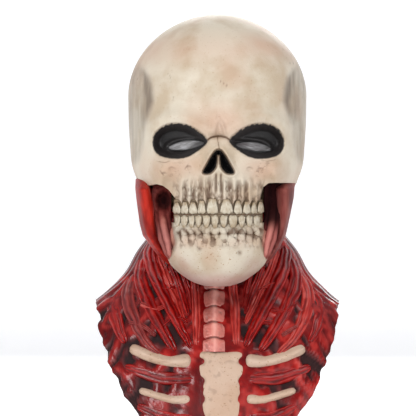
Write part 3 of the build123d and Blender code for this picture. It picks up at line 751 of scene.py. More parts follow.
def tooth_row(name, teeth, curve):
    """Uneven crowns along the gum: each a rounded ring carried from gum to bite, its width growing by an
    S-curve, with a brown gum band behind them.
    """
    grids = []
    for left, right, top, bottom in teeth:
        a, v = np.meshgrid(np.linspace(0, 2 * np.pi, 41), np.linspace(0, 1, 27))
        middle, half = (left + right) / 2, (right - left) / 2 + 0.55
        luck = lattice(np.array([int(middle * 10)]), np.array([3]), np.array([5]), 9)[0]
        ragged = 1 + 0.10 * noise(v * 9, 0 * v, middle + 0 * v, 2.0, 209, 2)
        neck = mix(0.36 + 0.26 * luck, 1.0, smooth(-0.1, 0.68 + 0.2 * luck, v))
        neck = neck * (1 - 0.16 * smooth(0.88, 1.0, v)) * ragged
        bite_end = np.sqrt(1 - np.clip((v - 0.84) / 0.16, 0, 1) ** 2)
        root_end = np.sqrt(1 - np.clip((0.10 - v) / 0.10, 0, 1) ** 2)
        close = bite_end * root_end
        s, c = np.sin(a), np.cos(a)
        px = middle + half * neck * np.sign(s) * np.abs(s) ** 0.75 * mix(0.45, 1.0, close)
        px = px + 0.5 * (luck - 0.5) * (1 - v)
        depth = (3.2 + 1.1 * np.sin(v * np.pi) ** 0.6) * close
        py = curve(px) + 3.0 - depth * np.sign(c) * np.abs(c) ** 0.75
        pz = mix(top + 1.8 * np.sign(top - bottom) * (luck - 0.4), bottom,
                 v) + 0.5 * np.sin(px * 1.3 + 6 * luck) * v
        lumps = noise(px, 0 * py, pz, 1.9, 201, 2)
        py = py - 0.8 * lumps * smooth(0, 0.5, c)
        streaks = noise(px * 1.4, 0 * py, pz * 0.45, 1.2, 203, 2)
        stain = np.clip(0.32 + 0.8 * streaks + 0.8 * smooth(0.5, 0.0, v), 0, 1)
        # Darker down the sides of each crown, where it turns away between its neighbours, and in the hollows
        # between the lumps: painted shade; browner at the gum and biting edge
        wash = smooth(0.72, 1.0, np.abs(s)) + smooth(0.16, 0.0, v) + 0.5 * smooth(0.94, 1.0, v)
        wash = np.clip(wash + 0.65 * smooth(0.15, 0.7, -lumps - 0.4 * streaks) * smooth(1.0, 0.5, v), 0, 1)
        grids.append((np.stack([px, py, pz], -1), {"stain": stain, "wash": wash}))
    level = np.array([teeth[0][2], teeth[0][3]]) + np.array([1.5, -0.9]) * np.sign(teeth[0][2] - teeth[0][3])
    x, v = np.meshgrid(np.linspace(-45.5, 47.0, 150), np.linspace(0, 1, 9))
    gum_y = curve(x) + 2.2 + 0.9 * hill(v, 0.5, 0.5) + 0.3 * noise(x, 0 * x, v * 12, 2, 205)
    band = np.stack([x, gum_y, mix(level[0], level[1], v)], -1)
    masks = {"stain": 1.0 + 0 * x, "wash": 0.62 + 0.5 * noise(x, 0 * x, v * 12, 2.5, 207)}
    grids.append((band if level[0] > level[1] else band[::-1], masks))
    return grids_object(name, grids, TOOTH)


# left edge, right edge, gum line, biting edge
UPPER_TEETH = [
    (-46.4, -38.4, -184.6, -197.6), (-37.9, -30.3, -184.8, -197.9), (-29.6, -21.2, -184.6, -198.2),
    (-20.6, -12.6, -184.0, -198.0), (-11.4, 0.6, -181.6, -198.2), (3.0, 15.8, -181.6, -198.2),
    (17.2, 25.4, -183.8, -198.2), (26.6, 34.4, -184.6, -197.9), (35.2, 41.0, -184.8, -197.7),
    (41.8, 48.4, -184.6, -197.3),
]
LOWER_TEETH = [
    (-44.6, -39.0, -213.6, -199.8), (-38.2, -31.0, -213.6, -199.8), (-30.0, -23.8, -213.6, -199.8),
    (-22.9, -16.6, -213.6, -199.3), (-15.2, -7.8, -213.6, -199.3), (-6.4, 1.0, -213.6, -199.3),
    (3.0, 10.2, -213.6, -199.3), (11.6, 20.8, -213.6, -199.3), (22.0, 28.8, -213.6, -199.8),
    (30.2, 36.4, -213.6, -199.8), (37.6, 44.4, -213.6, -199.8),
]
JAW_RINGS = [
    (-197, 57, -105, 29, 2),
    (-213, 58, -104.5, 29, 2.1),
    (-224, 58.5, -104, 28, 2.2),
    (-238, 54.5, -102, 26, 2.2),
    (-251, 46, -98, 24, 2.2),
    (-261, 35.5, -93, 18, 2.1),
    (-267.5, 25, -88, 6, 2),
    (-270.5, 15, -83, -10, 2),
]
ROOT_PITS = [-38.6, -30.6, -23.4, -15.9, -7.1, 2.1, 10.9, 21.4, 29.5, 37.0]
TISSUE_EDGE = [(47, -204), (44.5, -212), (42.5, -220), (41.5, -228), (44, -236), (49, -243), (58, -250),
               (80, -252), (80, -204)]


def gum_arc(x):
    """Front of the dental arch at x."""
    return -39 - 67.6 * np.sqrt(np.clip(1 - (x / 57.5) ** 2, 0.04, 1))


def jaw_ring_point(angle, z):
    """Place on the jaw's outline."""
    half, front, back, power = (along(JAW_RINGS, k, z) for k in (1, 2, 3, 4))
    s, c = np.sin(angle), np.cos(angle)
    x = half * np.sign(s) * np.abs(s) ** (2 / power)
    y = (front + back) / 2 - (back - front) / 2 * np.sign(c) * np.abs(c) ** (2 / power)
    return x, y


def jaw_depth(x, y, z):
    """How far the chin and jaw move back from the plain outline, and the paint masks: bell curves for crest,
    pits and chin, cosine folds where the cheek tissue joins.
    """
    u = np.abs(x - FACE_X)
    between = np.min([np.abs(x - centre) for centre in ROOT_PITS], 0)
    crest = -214.6 + 4.4 * np.exp(-((between / 2.2) ** 2)) - 1.6
    crest = crest + 0.9 * noise(x, 0 * y, 0 * z, 5, 53) - 0.06 * np.clip(u - 20, 0, 30)
    back = -2.6 * hill(z, crest, 1.5) * smooth(50, 44, u) * smooth(-0.9, 0.1, noise(x, 0 * y, 0 * z, 6, 55))
    pits = np.zeros(x.shape)
    for centre in ROOT_PITS:
        reach = 12 + 8 * smooth(14, 38, abs(centre)) + 3.0 * np.sin(centre * 1.7)
        lean = centre * (1 - 0.06 * np.clip((-215 - z) / reach, 0, 1))
        width = 2.6 * smooth(-213.0, -217, z) * smooth(-213 - reach - 3, -218, z)
        pits = np.maximum(pits, np.exp(-np.abs((x - lean) / (width + 0.05)) ** 3) * (width > 0.3))
    root_relief = 1.6 * smooth(-213, -217, z) * smooth(-236, -224, z) * smooth(48, 42, u)
    back += 3.8 * pits + root_relief * noise(x, y, z, 3.6, 49, 2)
    back -= 3.6 * hill(x - FACE_X, 0, 21) * hill(z, -247, 13)
    back -= 1.2 * hill(u, 13, 8) * hill(z, -256, 8)
    back += 3.8 * smooth(-216.2, -211.8, z)
    dents = hill(np.hypot(x + 18, z + 234), 0, 3.2) + hill(np.hypot(x - 22, z + 238), 0, 3.2)
    back += 1.8 * np.clip(dents, 0, 1)
    tissue = smooth(-0.5, 3.0, depth_inside(TISSUE_EDGE, u, z))
    rail = np.interp(-z, [206, 216, 225, 237, 250], [61, 61, 59.5, 55, 44])
    folds = np.cos((rail - u) * 0.85 + 0.9 * noise(x, y, z, 9, 41))
    back += tissue * (4.5 - 1.4 * folds)
    back += 0.4 * noise(x, y, z, 9, 43, 3)
    # Root grooves darkened: brown wash, with painted shade in the grooves
    outline = np.clip(hill(pits, 0.45, 0.32) * 0.8 + pits * 1.1, 0, 1)
    zone = smooth(-213.0, -216, z) * smooth(-238, -224, z) * smooth(48, 42, u)
    outline = np.maximum(outline, zone * smooth(-0.2, 0.4, noise(x, y, z * 0.5, 3.2, 51, 2)) * 0.9)
    veins = hill(noise(x, 0 * y, z * 0.5, 4.0, 57, 2), 0.1, 0.1) * zone
    back += 1.1 * veins
    outline = np.maximum(outline, 0.85 * veins)
    # Darker band under the crest and inside the dents: painted shade in these recesses, with brown wash
    under_crest = 0.7 * hill(z, crest - 2.4, 1.2) * smooth(50, 44, u)
    wash = np.maximum(outline, under_crest * smooth(-0.1, 0.5, noise(x, 0 * y, z, 4, 47)))
    wash = np.maximum(wash, 0.75 * np.clip(dents, 0, 1))
    wash = np.maximum(wash, 0.45 * hill(depth_inside(TISSUE_EDGE, u, z), 0, 1.4))
    lilac = smooth(-253, -268, z) * 0.9 + 0.35 * hill(u, 34, 8) * smooth(-238, -250, z)
    speck = 0.9 * hill(x - FACE_X, 0, 24) * hill(z, -250, 14) + 0.3
    stain = smooth(-216, -228, z) * smooth(-240, -226, z)
    # The fold mask follows the ridges and troughs of the tissue folds, for a painted highlight and painted
    # shade
    masks = {"wash": wash, "lilac": lilac, "speck": speck, "flesh": tissue, "fold_tone_and_shading": 0.5 + 0.5 * folds}
    masks["blush"] = np.clip(0.4 * stain + 0.7 * noise(x, y, z, 18, 59, 2), 0, 1)
    return back, masks


def jaw():
    """Chin and jaw from the gum crest to under the chin, open behind: part superellipse rings moved back by
    jaw_depth, then shrunk towards a point under the chin.
    """
    levels = np.concatenate([np.linspace(-207.5, -262, 88), np.linspace(-262.6, -270.5, 16)])
    t, level = np.meshgrid(np.linspace(-1, 1, 251), levels)
    line = np.interp(-level, [213, 224, 272], [-22, -22, -66.0])
    front, back, power = along(JAW_RINGS, 2, level), along(JAW_RINGS, 3, level), along(JAW_RINGS, 4, level)
    cosine = np.clip(((front + back) / 2 - line) / ((back - front) / 2), 0.02, 1) ** (power / 2)
    angle = t * np.arccos(cosine)
    x, y = jaw_ring_point(angle, level)
    moved, masks = jaw_depth(x, y, level)
    skin = np.stack([x, y + moved * smooth(-20, -50, y), level], -1)
    share = np.linspace(0.75, 0, 4)[:, None, None]
    heart = np.array([FACE_X, -72.0, -271.2])
    floor = heart + (skin[-1][None] - heart) * share
    masks = {k: np.vstack([m, np.repeat(m[-1:], 4, 0)]) for k, m in masks.items()}
    return thicken(grid_object("jaw_skin", np.concatenate([skin, floor]), masks, BONE), WALL)


def jaw_arm(side):
    """Flat moulded arm from the jaw up to an eyelet on the hinge pin: a rounded section carried through the
    stations, and a ring turned about the pin.
    """
    stations = [(-216, 56.8, -30, 13), (-200, 62.5, -24, 11), (-186, 68, -14, 10), (-176, 71.8, -5, 9.5),
                (-168, 73.0, 5, 9)]
    around = np.linspace(0, 2 * np.pi, 25)[:-1]
    level = np.linspace(0, 1, 22)
    table = np.array(stations)
    knots = np.linspace(0, 1, len(stations))
    z, x, y, half = (np.interp(level, knots, table[:, k])[:, None] for k in range(4))
    s, c = np.sin(around)[None], np.cos(around)[None]
    px = side * (x + 1.5 * np.sign(c) * np.abs(c) ** 0.5)
    py = y + half * np.sign(s) * np.abs(s) ** 0.6
    pz = z + 0 * px
    bar = np.stack([px, py, pz], -1)
    ring_a = np.linspace(0, 2 * np.pi, 49)[:-1]
    section = [(3.1, 71.5), (11, 71.5), (11, 74.5), (3.1, 74.5), (3.1, 71.5)]
    eye = [[(side * sx, 12 + r * np.cos(a), -158 + r * np.sin(a)) for a in ring_a] for r, sx in section]
    eye = np.array(eye)
    faces = [quads(len(level), 24, False, True, 0, flip=side > 0),
             quads(5, 48, False, True, bar.shape[0] * 24, flip=side < 0)]
    points = np.concatenate([bar.reshape(-1, 3), eye.reshape(-1, 3)])
    obj = mesh_object(f"jaw_arm_{'left' if side > 0 else 'right'}", points, np.vstack(faces), {}, BONE)
    return obj


# level, outer and inner edge of the chewing muscles; the mask's two sides differ
MASSETER_RIGHT = [
    (-161, 84.6, 68), (-170, 84.6, 69.3), (-181, 83.4, 67.0),
    (-194, 81.6, 64.2), (-208, 79.6, 62.2), (-220, 76.5, 60.6),
    (-232, 68, 56.5), (-242, 60, 50.5), (-252, 48, 40),
]
MASSETER_LEFT = [
    (-161, 81.6, 58), (-170, 79.4, 59.2), (-181, 78.2, 61.2),
    (-194, 75.6, 62.4), (-208, 72.6, 62.2), (-220, 69.8, 61.4),
    (-232, 64, 57.5), (-242, 57.5, 51.0), (-252, 48, 41),
]


def masseter(side):
    """Chewing muscle from the cheekbone to the jaw's corner: a half-turn of an oval carried down between two
    outlines, then straight back, with sine fibres along it.
    """
    level, outer, inner = np.array(MASSETER_RIGHT if side < 0 else MASSETER_LEFT, float).T
    v, w = np.meshgrid(np.linspace(0, 1, 90), np.linspace(0, 1, 64), indexing="ij")
    z = mix(-161.5, -250, v)
    xo, xi = np.interp(-z, -level, outer), np.interp(-z, -level, inner)
    turn = mix(-0.62 * np.pi, 0.5 * np.pi, np.clip(w / 0.66, 0, 1))
    middle, half = (xo + xi) / 2, (xo - xi) / 2
    front = np.interp(-z, [161, 167, 173, 196, 222, 238, 250], [-40, -58, -72, -71, -68, -62, -50])
    depth = np.interp(-z, [161, 196, 222, 238, 250], [42, 40, 32, 22, 12])
    rear = np.interp(-z, [161, 190, 206, 222, 238, 250], [23, 22, 20, 4, -16, -34])
    px = middle + half * (1 + 0.04 * np.sin(np.pi * v)) * np.sin(turn)
    py = front + depth * (1 - np.cos(turn))
    py = mix(py, np.maximum(rear, py), np.clip((w - 0.66) / 0.34, 0, 1))
    fibre_line = w * 15 + 0.8 * np.sin(v * 5 + w * 6) + 1.3 * noise(w * 40, v * 0, v * 30, 9, 53 + side, 2)
    fibre = 0.5 + 0.5 * np.sin(fibre_line * 2 * np.pi / 2.6)
    fine = 0.5 + 0.8 * noise(px * 1.0, py, z * 0.08, 1.7, 59, 2)
    py = py - 0.7 * fibre * np.cos(turn).clip(0, 1)
    px = px + 0.5 * fibre * np.sin(turn)
    flank = smooth(0.50, 0.62, w) * smooth(0.9, 0.7, w)
    # Fibre tone with random variation, a painted highlight on the bulge, and painted shade at the inner edge
    tone = 0.22 + 0.24 * fibre + 0.62 * fine + 0.30 * hill(w, 0.36, 0.14) * hill(v, 0.35, 0.4)
    tone = tone - 0.25 * smooth(0.28, 0.20, w)
    # Painted highlights: a thin line near the inner edge and glints on the flank, weaker on the wearer's left
    pale_and_glint = np.clip(0.16 * flank * smooth(0.3, 0.8, fine) + 0.3 * hill(w, 0.27, 0.02) * fibre, 0, 1)
    pale_and_glint = pale_and_glint * (1 if side < 0 else 0.6)
    # Painted shade along the inner edge and at both ends, where the muscle tucks under bone
    hollow_shade = np.clip(smooth(0.225, 0.19, w) + 0.8 * smooth(0.012, 0.0, v) + 0.5 * smooth(0.97, 1.0, v), 0, 1)
    masks = {"fibre": tone, "pale_and_glint": pale_and_glint, "hollow_shade": hollow_shade * 0.85}
    points = np.stack([side * px, py, z], -1)
    name = f"masseter_muscle_{'left' if side > 0 else 'right'}"
    skin = grid_object(name, points, masks, MASSETER_RED if side < 0 else MASSETER_DUSK, flip=side < 0)
    return thicken(skin, 1.6)


def cheek_tissue(side):
    """Sunken tissue between the upper jaw and the chewing muscle: a sheet between two edges, with bell-curve
    ribs and creases running down it and a sunken hole on the wearer's right.
    The hole, the creases and the part under the cheekbone are painted dark as shade, and the ribs carry
    painted highlights.
    """
    v, w = np.meshgrid(np.linspace(0, 1, 80), np.linspace(0, 1, 44), indexing="ij")
    z = mix(-163.0, -252, v)
    near = np.interp(-z, [163, 170, 182, 200, 214, 227, 240, 252], [51, 48.5, 48, 48.5, 46, 41, 44, 40])
    far = np.interp(-z, [163, 180, 197, 225, 240, 252], [66, 70, 66, 62, 55, 44])
    u = mix(near, far, w)
    deep = np.interp(w, [0, 0.10, 0.3, 0.7, 1], [-70, -66, -62, -60, -62])
    lift = smooth(0.27, 0.54, v) * smooth(1.0, 0.85, v)
    deep = deep + 16 * smooth(0.82, 1.0, v)
    rib = hill(w, 0.55, 0.16) * lift
    second = hill(w, 0.86, 0.07) * smooth(0.45, 0.7, v)
    wander = 0.06 * noise(u, 0 * u, z, 12, 61 + side, 2)
    crease = hill(w + wander, 0.28, 0.07) + hill(w + wander, 0.76, 0.05)
    y = deep - 13 * lift * smooth(0.0, 0.2, w) - 4.5 * rib - 2.5 * second
    y = y + 2.5 * crease * lift + 0.6 * noise(u, 0 * u, z, 3, 63, 2)
    if side < 0:
        away = np.hypot((u - 55.5) * 1.05, (z + 184.0) * 0.86)
        hole = smooth(11.0, 6.5, away)
        y = y + 8 * hole - 1.4 * hill(away, 11.5, 1.4)
        # Painted shade in the hole, the creases, the upper outer corner and along the top edge
        hollow_shade = np.clip(0.8 * hole + 0.25 * smooth(5, 2, away) + 0.85 * crease * lift
                         + 0.30 * smooth(0.42, 0.2, v) * smooth(0.65, 1.0, w) + 0.5 * smooth(0.07, 0.0, v),
                         0, 1)
        # Fibre tone, brighter on the raised ribs as a painted highlight
        fibre = np.clip(0.32 + 0.45 * rib + 0.3 * second + 0.25 * noise(u, 0 * u, z, 3, 67), 0, 1)
    else:
        # Painted shade over the upper part, under the cheekbone, and in the creases
        hollow_shade = np.clip(smooth(0.62, 0.45, v) * 0.93 + 0.9 * crease * smooth(0.98, 0.85, v), 0, 1)
        # Fibre tone, brighter on the raised ribs as a painted highlight
        fibre = np.clip(0.25 + 0.5 * rib + 0.3 * second, 0, 1)
    # Painted highlights on the raised ribs
    pale_and_glint = np.clip(0.55 * rib * smooth(0.35, 0.7, v) + 0.3 * second, 0, 1)
    x = side * u
    masks = {"fibre": fibre, "hollow_shade": hollow_shade, "pale_and_glint": pale_and_glint}
    name = f"cheek_tissue_{'left' if side > 0 else 'right'}"
    return thicken(grid_object(name, np.stack([x, y, z], -1), masks, CHEEK, flip=side < 0), 1.5)


# ---------------------------------------------------------------- neck and chest
FRONT_HEM = [(0, -452), (66, -430), (98, -390), (115, -352), (125, -318), (128, -290)]
BACK_HEM = [(0, -376), (54, -370), (92, -350), (116, -322), (128, -290)]


def bib_ring_point(angle, z, inset=0.0):
    """Place on the neck and chest."""
    half, front, back, power = (along(BIB_RINGS, k, z) for k in (1, 2, 3, 4))
    s, c = np.sin(angle), np.cos(angle)
    x = (half - inset) * np.sign(s) * np.abs(s) ** (2 / power)
    y = (front + back) / 2 - ((back - front) / 2 - inset) * np.sign(c) * np.abs(c) ** (2 / power)
    return x, y


def bib_front_y(x, z):
    """Front of the neck and chest at x and z."""
    half, front, back, power = (along(BIB_RINGS, k, z) for k in (1, 2, 3, 4))
    across = np.clip(1 - np.clip(np.abs(x) / half, 0, 1) ** power, 0, 1) ** (1 / power)
    return (front + back) / 2 - (back - front) / 2 * across


def bib():
    """Flayed neck and chest: superellipse rings from collar to hem, shrunk where a ridged noise leaves pits
    between red straps, with sine fibres fanning down and out.
    The pits and the back slit are painted dark as shade, and the straps are lighter and glinting as painted
    highlight.
    """
    turn = np.linspace(-np.pi, np.pi, 351)[:-1]
    slot = np.array([0.61, 1.2, 2.0]) / 80
    angle = np.sort(np.concatenate([turn, np.pi - slot, slot - np.pi]))
    levels = np.linspace(-206, -461, 512)
    a, z = np.meshgrid(angle, levels)
    x, y = bib_ring_point(a, z)
    hem = np.where(
        y < 25, np.interp(np.abs(x), *np.array(FRONT_HEM, float).T),
        np.interp(np.abs(x), *np.array(BACK_HEM, float).T)
    )
    past = z < hem
    bottom = levels[np.argmax(past, 0)]
    x_top, y_top = bib_ring_point(angle, np.full(angle.shape, -240.0))
    throat = smooth(53, 47, np.abs(x_top)) * (y_top < -2)
    top = mix(mix(-207.0, -193.0, smooth(24, 30, y_top)), -258.5, throat)
    v = np.linspace(0, 1, 128)[:, None]
    z = mix(top, bottom, v)
    a = np.broadcast_to(angle, z.shape)
    collar = smooth(-206.5, -203, z) * smooth(20, 26, y_top)
    x, y = bib_ring_point(a, z, 4.5 * collar)
    lines = a * 17 + 0.35 * np.sin(z / 17) + 2.4 * noise(x, y, z * 0.3, 26, 71, 2)
    fibre = 0.5 + 0.5 * np.sin(lines * 2)
    fine = 0.5 + 0.5 * noise(x, y, z * 0.12, 2.4, 73, 2)
    band = smooth(-0.35, 0.45, noise(np.sin(a) * 60, np.cos(a) * 60, z * 0.18, 17, 79, 2))
    lean = x + 0.45 * np.sign(x) * (z + 300)
    web = np.abs(noise(lean, y * 0.3, z * 0.55, 12.5, 83, 2))
    strap = smooth(0.16, 0.03, web)
    calm = smooth(0.99, 0.84, np.abs(x) / along(BIB_RINGS, 1, z)) * np.where(
        z < -333, smooth(30, 38, np.abs(x - 4.5)), smooth(17, 22, np.abs(x + 3.5))
    )
    pit = smooth(0.16, 0.42, web) * smooth(-212, -236, z) * smooth(20, 4, y) * calm
    dips = (1 - fibre) * 0.8 + 2.4 * pit - 0.45 * strap * calm
    split = hill(x, 0, 0.8) * (y > 25)
    shrink = 1 - (dips + 2.4 * split) * (1 - collar) / 100
    mid = (along(BIB_RINGS, 2, z) + along(BIB_RINGS, 3, z)) / 2
    points = np.stack([x * shrink, mid + (y - mid) * shrink, z], -1)
    masks = {
        # Fibre tone, lighter on the raised straps as a painted highlight
        "fibre": np.clip((0.15 + 0.2 * fibre + 0.5 * fine) * mix(0.65, 1.0, band) + 0.3 * strap, 0, 1),
        # Painted shade in the pits of the web and along the back slit, with a little darker tone where the
        # band noise is low
        "hollow_shade": np.clip(0.95 * pit + 0.12 * (1 - band) + split, 0, 1),
        # Painted glints on the fibre peaks and the straps
        "pale_and_glint": 0.22 * smooth(0.7, 0.95, fibre * fine * 1.3) * band + 0.12 * strap * fine,
    }
    skin = grid_object("bib_skin", points, masks, MUSCLE_RED, wrap_cols=True)
    return thicken(skin, 2.2)


def soft_limit(x, limit, softness):
    """x held within the limit on both sides, bending over gently."""
    room = (limit - np.abs(x)) / softness
    return np.sign(x) * (limit - softness * np.logaddexp(0, room))


def strand(name, path, widths, height, material, seed, fibres, pale_and_glint):
    """Long rounded band lying on the neck or chest: a half-round profile carried along a curve, with cosine
    grooves and noise along it. Its edges sink below the surface and are painted darker as shade, and a
    painted highlight runs down one side.
    """
    line = curve_through(path, steps=8)
    length = np.concatenate([[0], np.cumsum(np.hypot(*np.diff(line, axis=0).T))])
    share = length / length[-1]
    v = np.linspace(0, 1, max(24, int(length[-1] / 1.3)))
    cx, cz = np.interp(v, share, line[:, 0]), np.interp(v, share, line[:, 1])
    cx = soft_limit(cx, 0.92 * along(BIB_RINGS, 1, cz), 5.0)
    dx, dz = np.gradient(cx), np.gradient(cz)
    norm = np.hypot(dx, dz)
    nx, nz = -dz / norm, dx / norm
    half = np.interp(v, np.linspace(0, 1, len(widths)), widths)
    s = np.linspace(-1, 1, 25)
    half = half * np.sqrt(np.clip(1 - np.abs(2 * v - 1) ** 14, 0.0, 1))
    x = cx[:, None] + (nx * half)[:, None] * s
    z = cz[:, None] + (nz * half)[:, None] * s
    x = soft_limit(x, 0.975 * along(BIB_RINGS, 1, z), 1.5)
    dome = np.sqrt(np.clip(1 - s**2, 0, 1))[None]
    ends = np.sqrt(np.clip(1 - np.abs(2 * v - 1) ** 10, 0, 1))[:, None]
    run = v[:, None] * length[-1] + 0 * s
    waves = s[None] * fibres * np.pi + 1.4 * noise(run, 0 * x, s[None] * 9 + 0 * x, 11, seed, 2)
    groove = 0.5 + 0.5 * np.cos(waves * 2)
    fine = 0.5 + 0.5 * noise(run * 0.10, 0 * x, (s[None] + 0 * x) * half[:, None], 1.1, seed + 3, 2)
    knots = noise(run, 0 * x, s[None] * 4 + 0 * x, 8, seed + 7, 2)
    body = dome * ends * (1 + 0.22 * knots)
    y = bib_front_y(x, z) - height * body + 1.6 * (1 - dome) + 0.24 * height * (1 - groove) * dome
    # Fibre tone, darker towards the edges where the band meets the surface: painted shade
    fibre = np.clip((0.12 + 0.34 * groove + 0.52 * fine + 0.22 * knots) * smooth(0.0, 0.7, dome), 0, 1.1)
    masks = {
        "fibre": fibre + 0 * x,
        # A painted highlight down one side of the band, with glints on the knots
        "pale_and_glint": pale_and_glint * np.clip(hill(s, -0.25, 0.35)[None] * smooth(0.55, 0.85, fine) + 0.4 * knots, 0, 1),
        # Painted shade along the edges
        "hollow_shade": smooth(0.5, 0.2, dome) * 0.5 + 0 * x,
        # On the bone bands: painted shade along the edges, with wash blotches
        "wash": smooth(0.5, 0.15, dome) * 0.8 + 0.22 * smooth(0.2, 0.8, noise(x, y, z, 4, seed + 9, 2))
        + 0 * x,
        "blush": 0.9 + 0 * x,
        "speck": 0.8 + 0 * x,
        "flesh": smooth(0.62, 0.2, dome) * 0.85 + 0 * x,
        "fold_tone_and_shading": 0.3 + 0.4 * fine,
    }
    return grid_object(name, np.stack([x, y, z], -1), masks, material)


# name, path of x and z, half widths, height, tone
NECK_STRANDS = [
    ("neck_strand_right_1", [(-80, -222), (-71, -250), (-56, -284), (-40, -315), (-27, -340)],
     [8, 9, 8, 6.5, 4], 8, "red"),
    ("neck_strand_right_2", [(-66, -230), (-59, -254), (-47, -282), (-34, -312)], [5, 6.5, 5.5, 3], 5,
     "pink"),
    ("neck_strand_right_3", [(-25, -262), (-22.5, -290), (-22, -336)], [5, 5.5, 4.5], 6, "pink"),
    ("neck_strand_right_4", [(-50, -250), (-40, -276), (-31, -306)], [4.5, 5.5, 3.5], 5, "red"),
    ("neck_strand_right_5", [(-89, -244), (-80, -274), (-64, -308), (-44, -342)], [7, 9, 8, 5], 6.5, "red"),
    ("neck_strand_right_6", [(-99, -260), (-93, -294), (-78, -328), (-60, -346)], [7, 9, 7, 4], 6, "dusk"),
    ("neck_strand_right_7", [(-112, -276), (-108, -306), (-97, -334)], [6, 9, 5], 5, "red"),
    ("neck_strand_right_8", [(-38, -256), (-30, -280), (-27, -300)], [3.5, 4, 2.5], 4, "red"),
    ("neck_tie_right_1", [(-70, -268), (-58, -276), (-44, -276)], [3, 2.6, 3], 6, "red"),
    ("neck_tie_right_2", [(-82, -292), (-66, -298), (-52, -294)], [3.5, 3, 3], 6.5, "pink"),
    ("neck_tie_right_3", [(-58, -316), (-44, -306), (-30, -312)], [3.2, 2.8, 3], 6, "red"),
    ("neck_tie_right_4", [(-94, -312), (-78, -316), (-64, -326)], [3.5, 3, 3], 5.5, "dusk"),
    ("neck_strand_left_1", [(79, -230), (68, -260), (49, -298), (28, -338)], [8, 9.5, 8, 4.5], 8.5, "red"),
    ("neck_strand_left_2", [(64, -234), (54, -262), (41, -288), (29, -314)], [5, 6, 5, 3], 5, "pink"),
    ("neck_strand_left_3", [(15, -262), (18, -296), (20, -336)], [5.5, 6.5, 5], 6, "pink"),
    ("neck_strand_left_4", [(48, -252), (38, -278), (29, -304)], [4.5, 5, 3], 5, "red"),
    ("neck_strand_left_5", [(90, -242), (82, -276), (64, -312), (44, -342)], [7, 9.5, 8, 5], 7, "red"),
    ("neck_strand_left_6", [(99, -256), (96, -292), (82, -326), (62, -346)], [7, 9, 7, 4], 6, "pink"),
    ("neck_strand_left_7", [(113, -276), (109, -306), (97, -334)], [6, 9, 5], 5, "red"),
    ("neck_strand_left_8", [(36, -258), (30, -280), (26, -298)], [3.5, 4, 2.5], 4, "red"),
    ("neck_tie_left_1", [(70, -270), (56, -272), (42, -280)], [3, 2.8, 3], 6.5, "pink"),
    ("neck_tie_left_2", [(84, -290), (70, -300), (54, -298)], [3.5, 3, 3], 7, "red"),
    ("neck_tie_left_3", [(60, -312), (46, -312), (32, -318)], [3.2, 2.8, 3], 6, "red"),
    ("neck_tie_left_4", [(94, -312), (80, -318), (66, -326)], [3.5, 3, 3], 5.5, "dusk"),
    ("chest_strand_right_1", [(-24, -370), (-58, -369), (-98, -358)], [6, 8, 5], 4, "red"),
    ("chest_strand_right_2", [(-24, -411), (-52, -411), (-84, -398)], [6, 8, 4.5], 4, "red"),
    ("chest_strand_right_3", [(-21, -430), (-42, -429), (-60, -420)], [4, 5, 3], 3.5, "dusk"),
    ("chest_strand_left_1", [(31, -370), (64, -369), (98, -358)], [6, 8, 5], 4, "red"),
    ("chest_strand_left_2", [(31, -411), (58, -410), (84, -398)], [6, 8, 4.5], 4, "red"),
    ("chest_strand_left_3", [(26, -430), (44, -429), (60, -420)], [4, 5, 3], 3.5, "dusk"),
]


def vertebrae():
    """Front of the neck's spine: a domed strip with a painted highlight along its ridge, pinched by bell
    curves at the joints, with painted shade in the joints and along the edges.
    """
    v, s = np.meshgrid(np.linspace(0, 1, 110), np.linspace(-1, 1, 49), indexing="ij")
    z = mix(-262.0, -342.0, v)
    gaps = np.array([-278.0, -295.7, -312.0, -328.0])
    scallop = z - 0.9 * np.cos(s * np.pi * 1.2) + 0.8 * noise(s * 9, 0 * s, z * 0.2, 3.0, 85, 2)
    gap = sum(hill(scallop, g, 1.0) for g in gaps)
    waist = 1 - 0.10 * np.clip(sum(hill(z, g, 3.2) for g in gaps), 0, 1)
    x = -3.5 + 13.5 * s * waist
    dome = np.sqrt(np.clip(1 - np.abs(s) ** 2.4, 0, 1))
    ridge = hill(s, 0.05, 0.17)
    rough = noise(x, 0 * x, z, 3.4, 87, 3)
    hollows = hill(np.abs(s), 0.55, 0.22) * smooth(-0.2, 0.5, rough)
    y = bib_front_y(x, z) + 1.5 + 1.4 * hollows - 6.2 * dome - 1.6 * ridge
    y = y + 2.6 * np.clip(gap, 0, 1) * dome + 0.4 * noise(x, 0 * x, z, 4, 83, 2)
    masks = {
        # Brighter on the ridge and darker to the sides: painted highlight and shade, with random tone
        "fibre": np.clip(0.62 + 0.3 * ridge - 0.2 * np.abs(s) + 0.3 * rough, 0, 1),
        # Painted highlight along the ridge, with random paler tone and a paler lower end
        "pale_and_glint": np.clip(0.5 * ridge + 0.25 * rough - 0.4 * gap + 0.5 * smooth(-328, -340, z), 0, 1),
        # Painted shade in the joints, in the hollows beside the ridge and along the edges
        "hollow_shade": np.clip(0.8 * gap + 0.5 * hollows + 0.7 * smooth(0.4, 0.1, dome), 0, 1),
    }
    return grid_object("vertebra_column", np.stack([x, y, z], -1), masks, CARTILAGE)


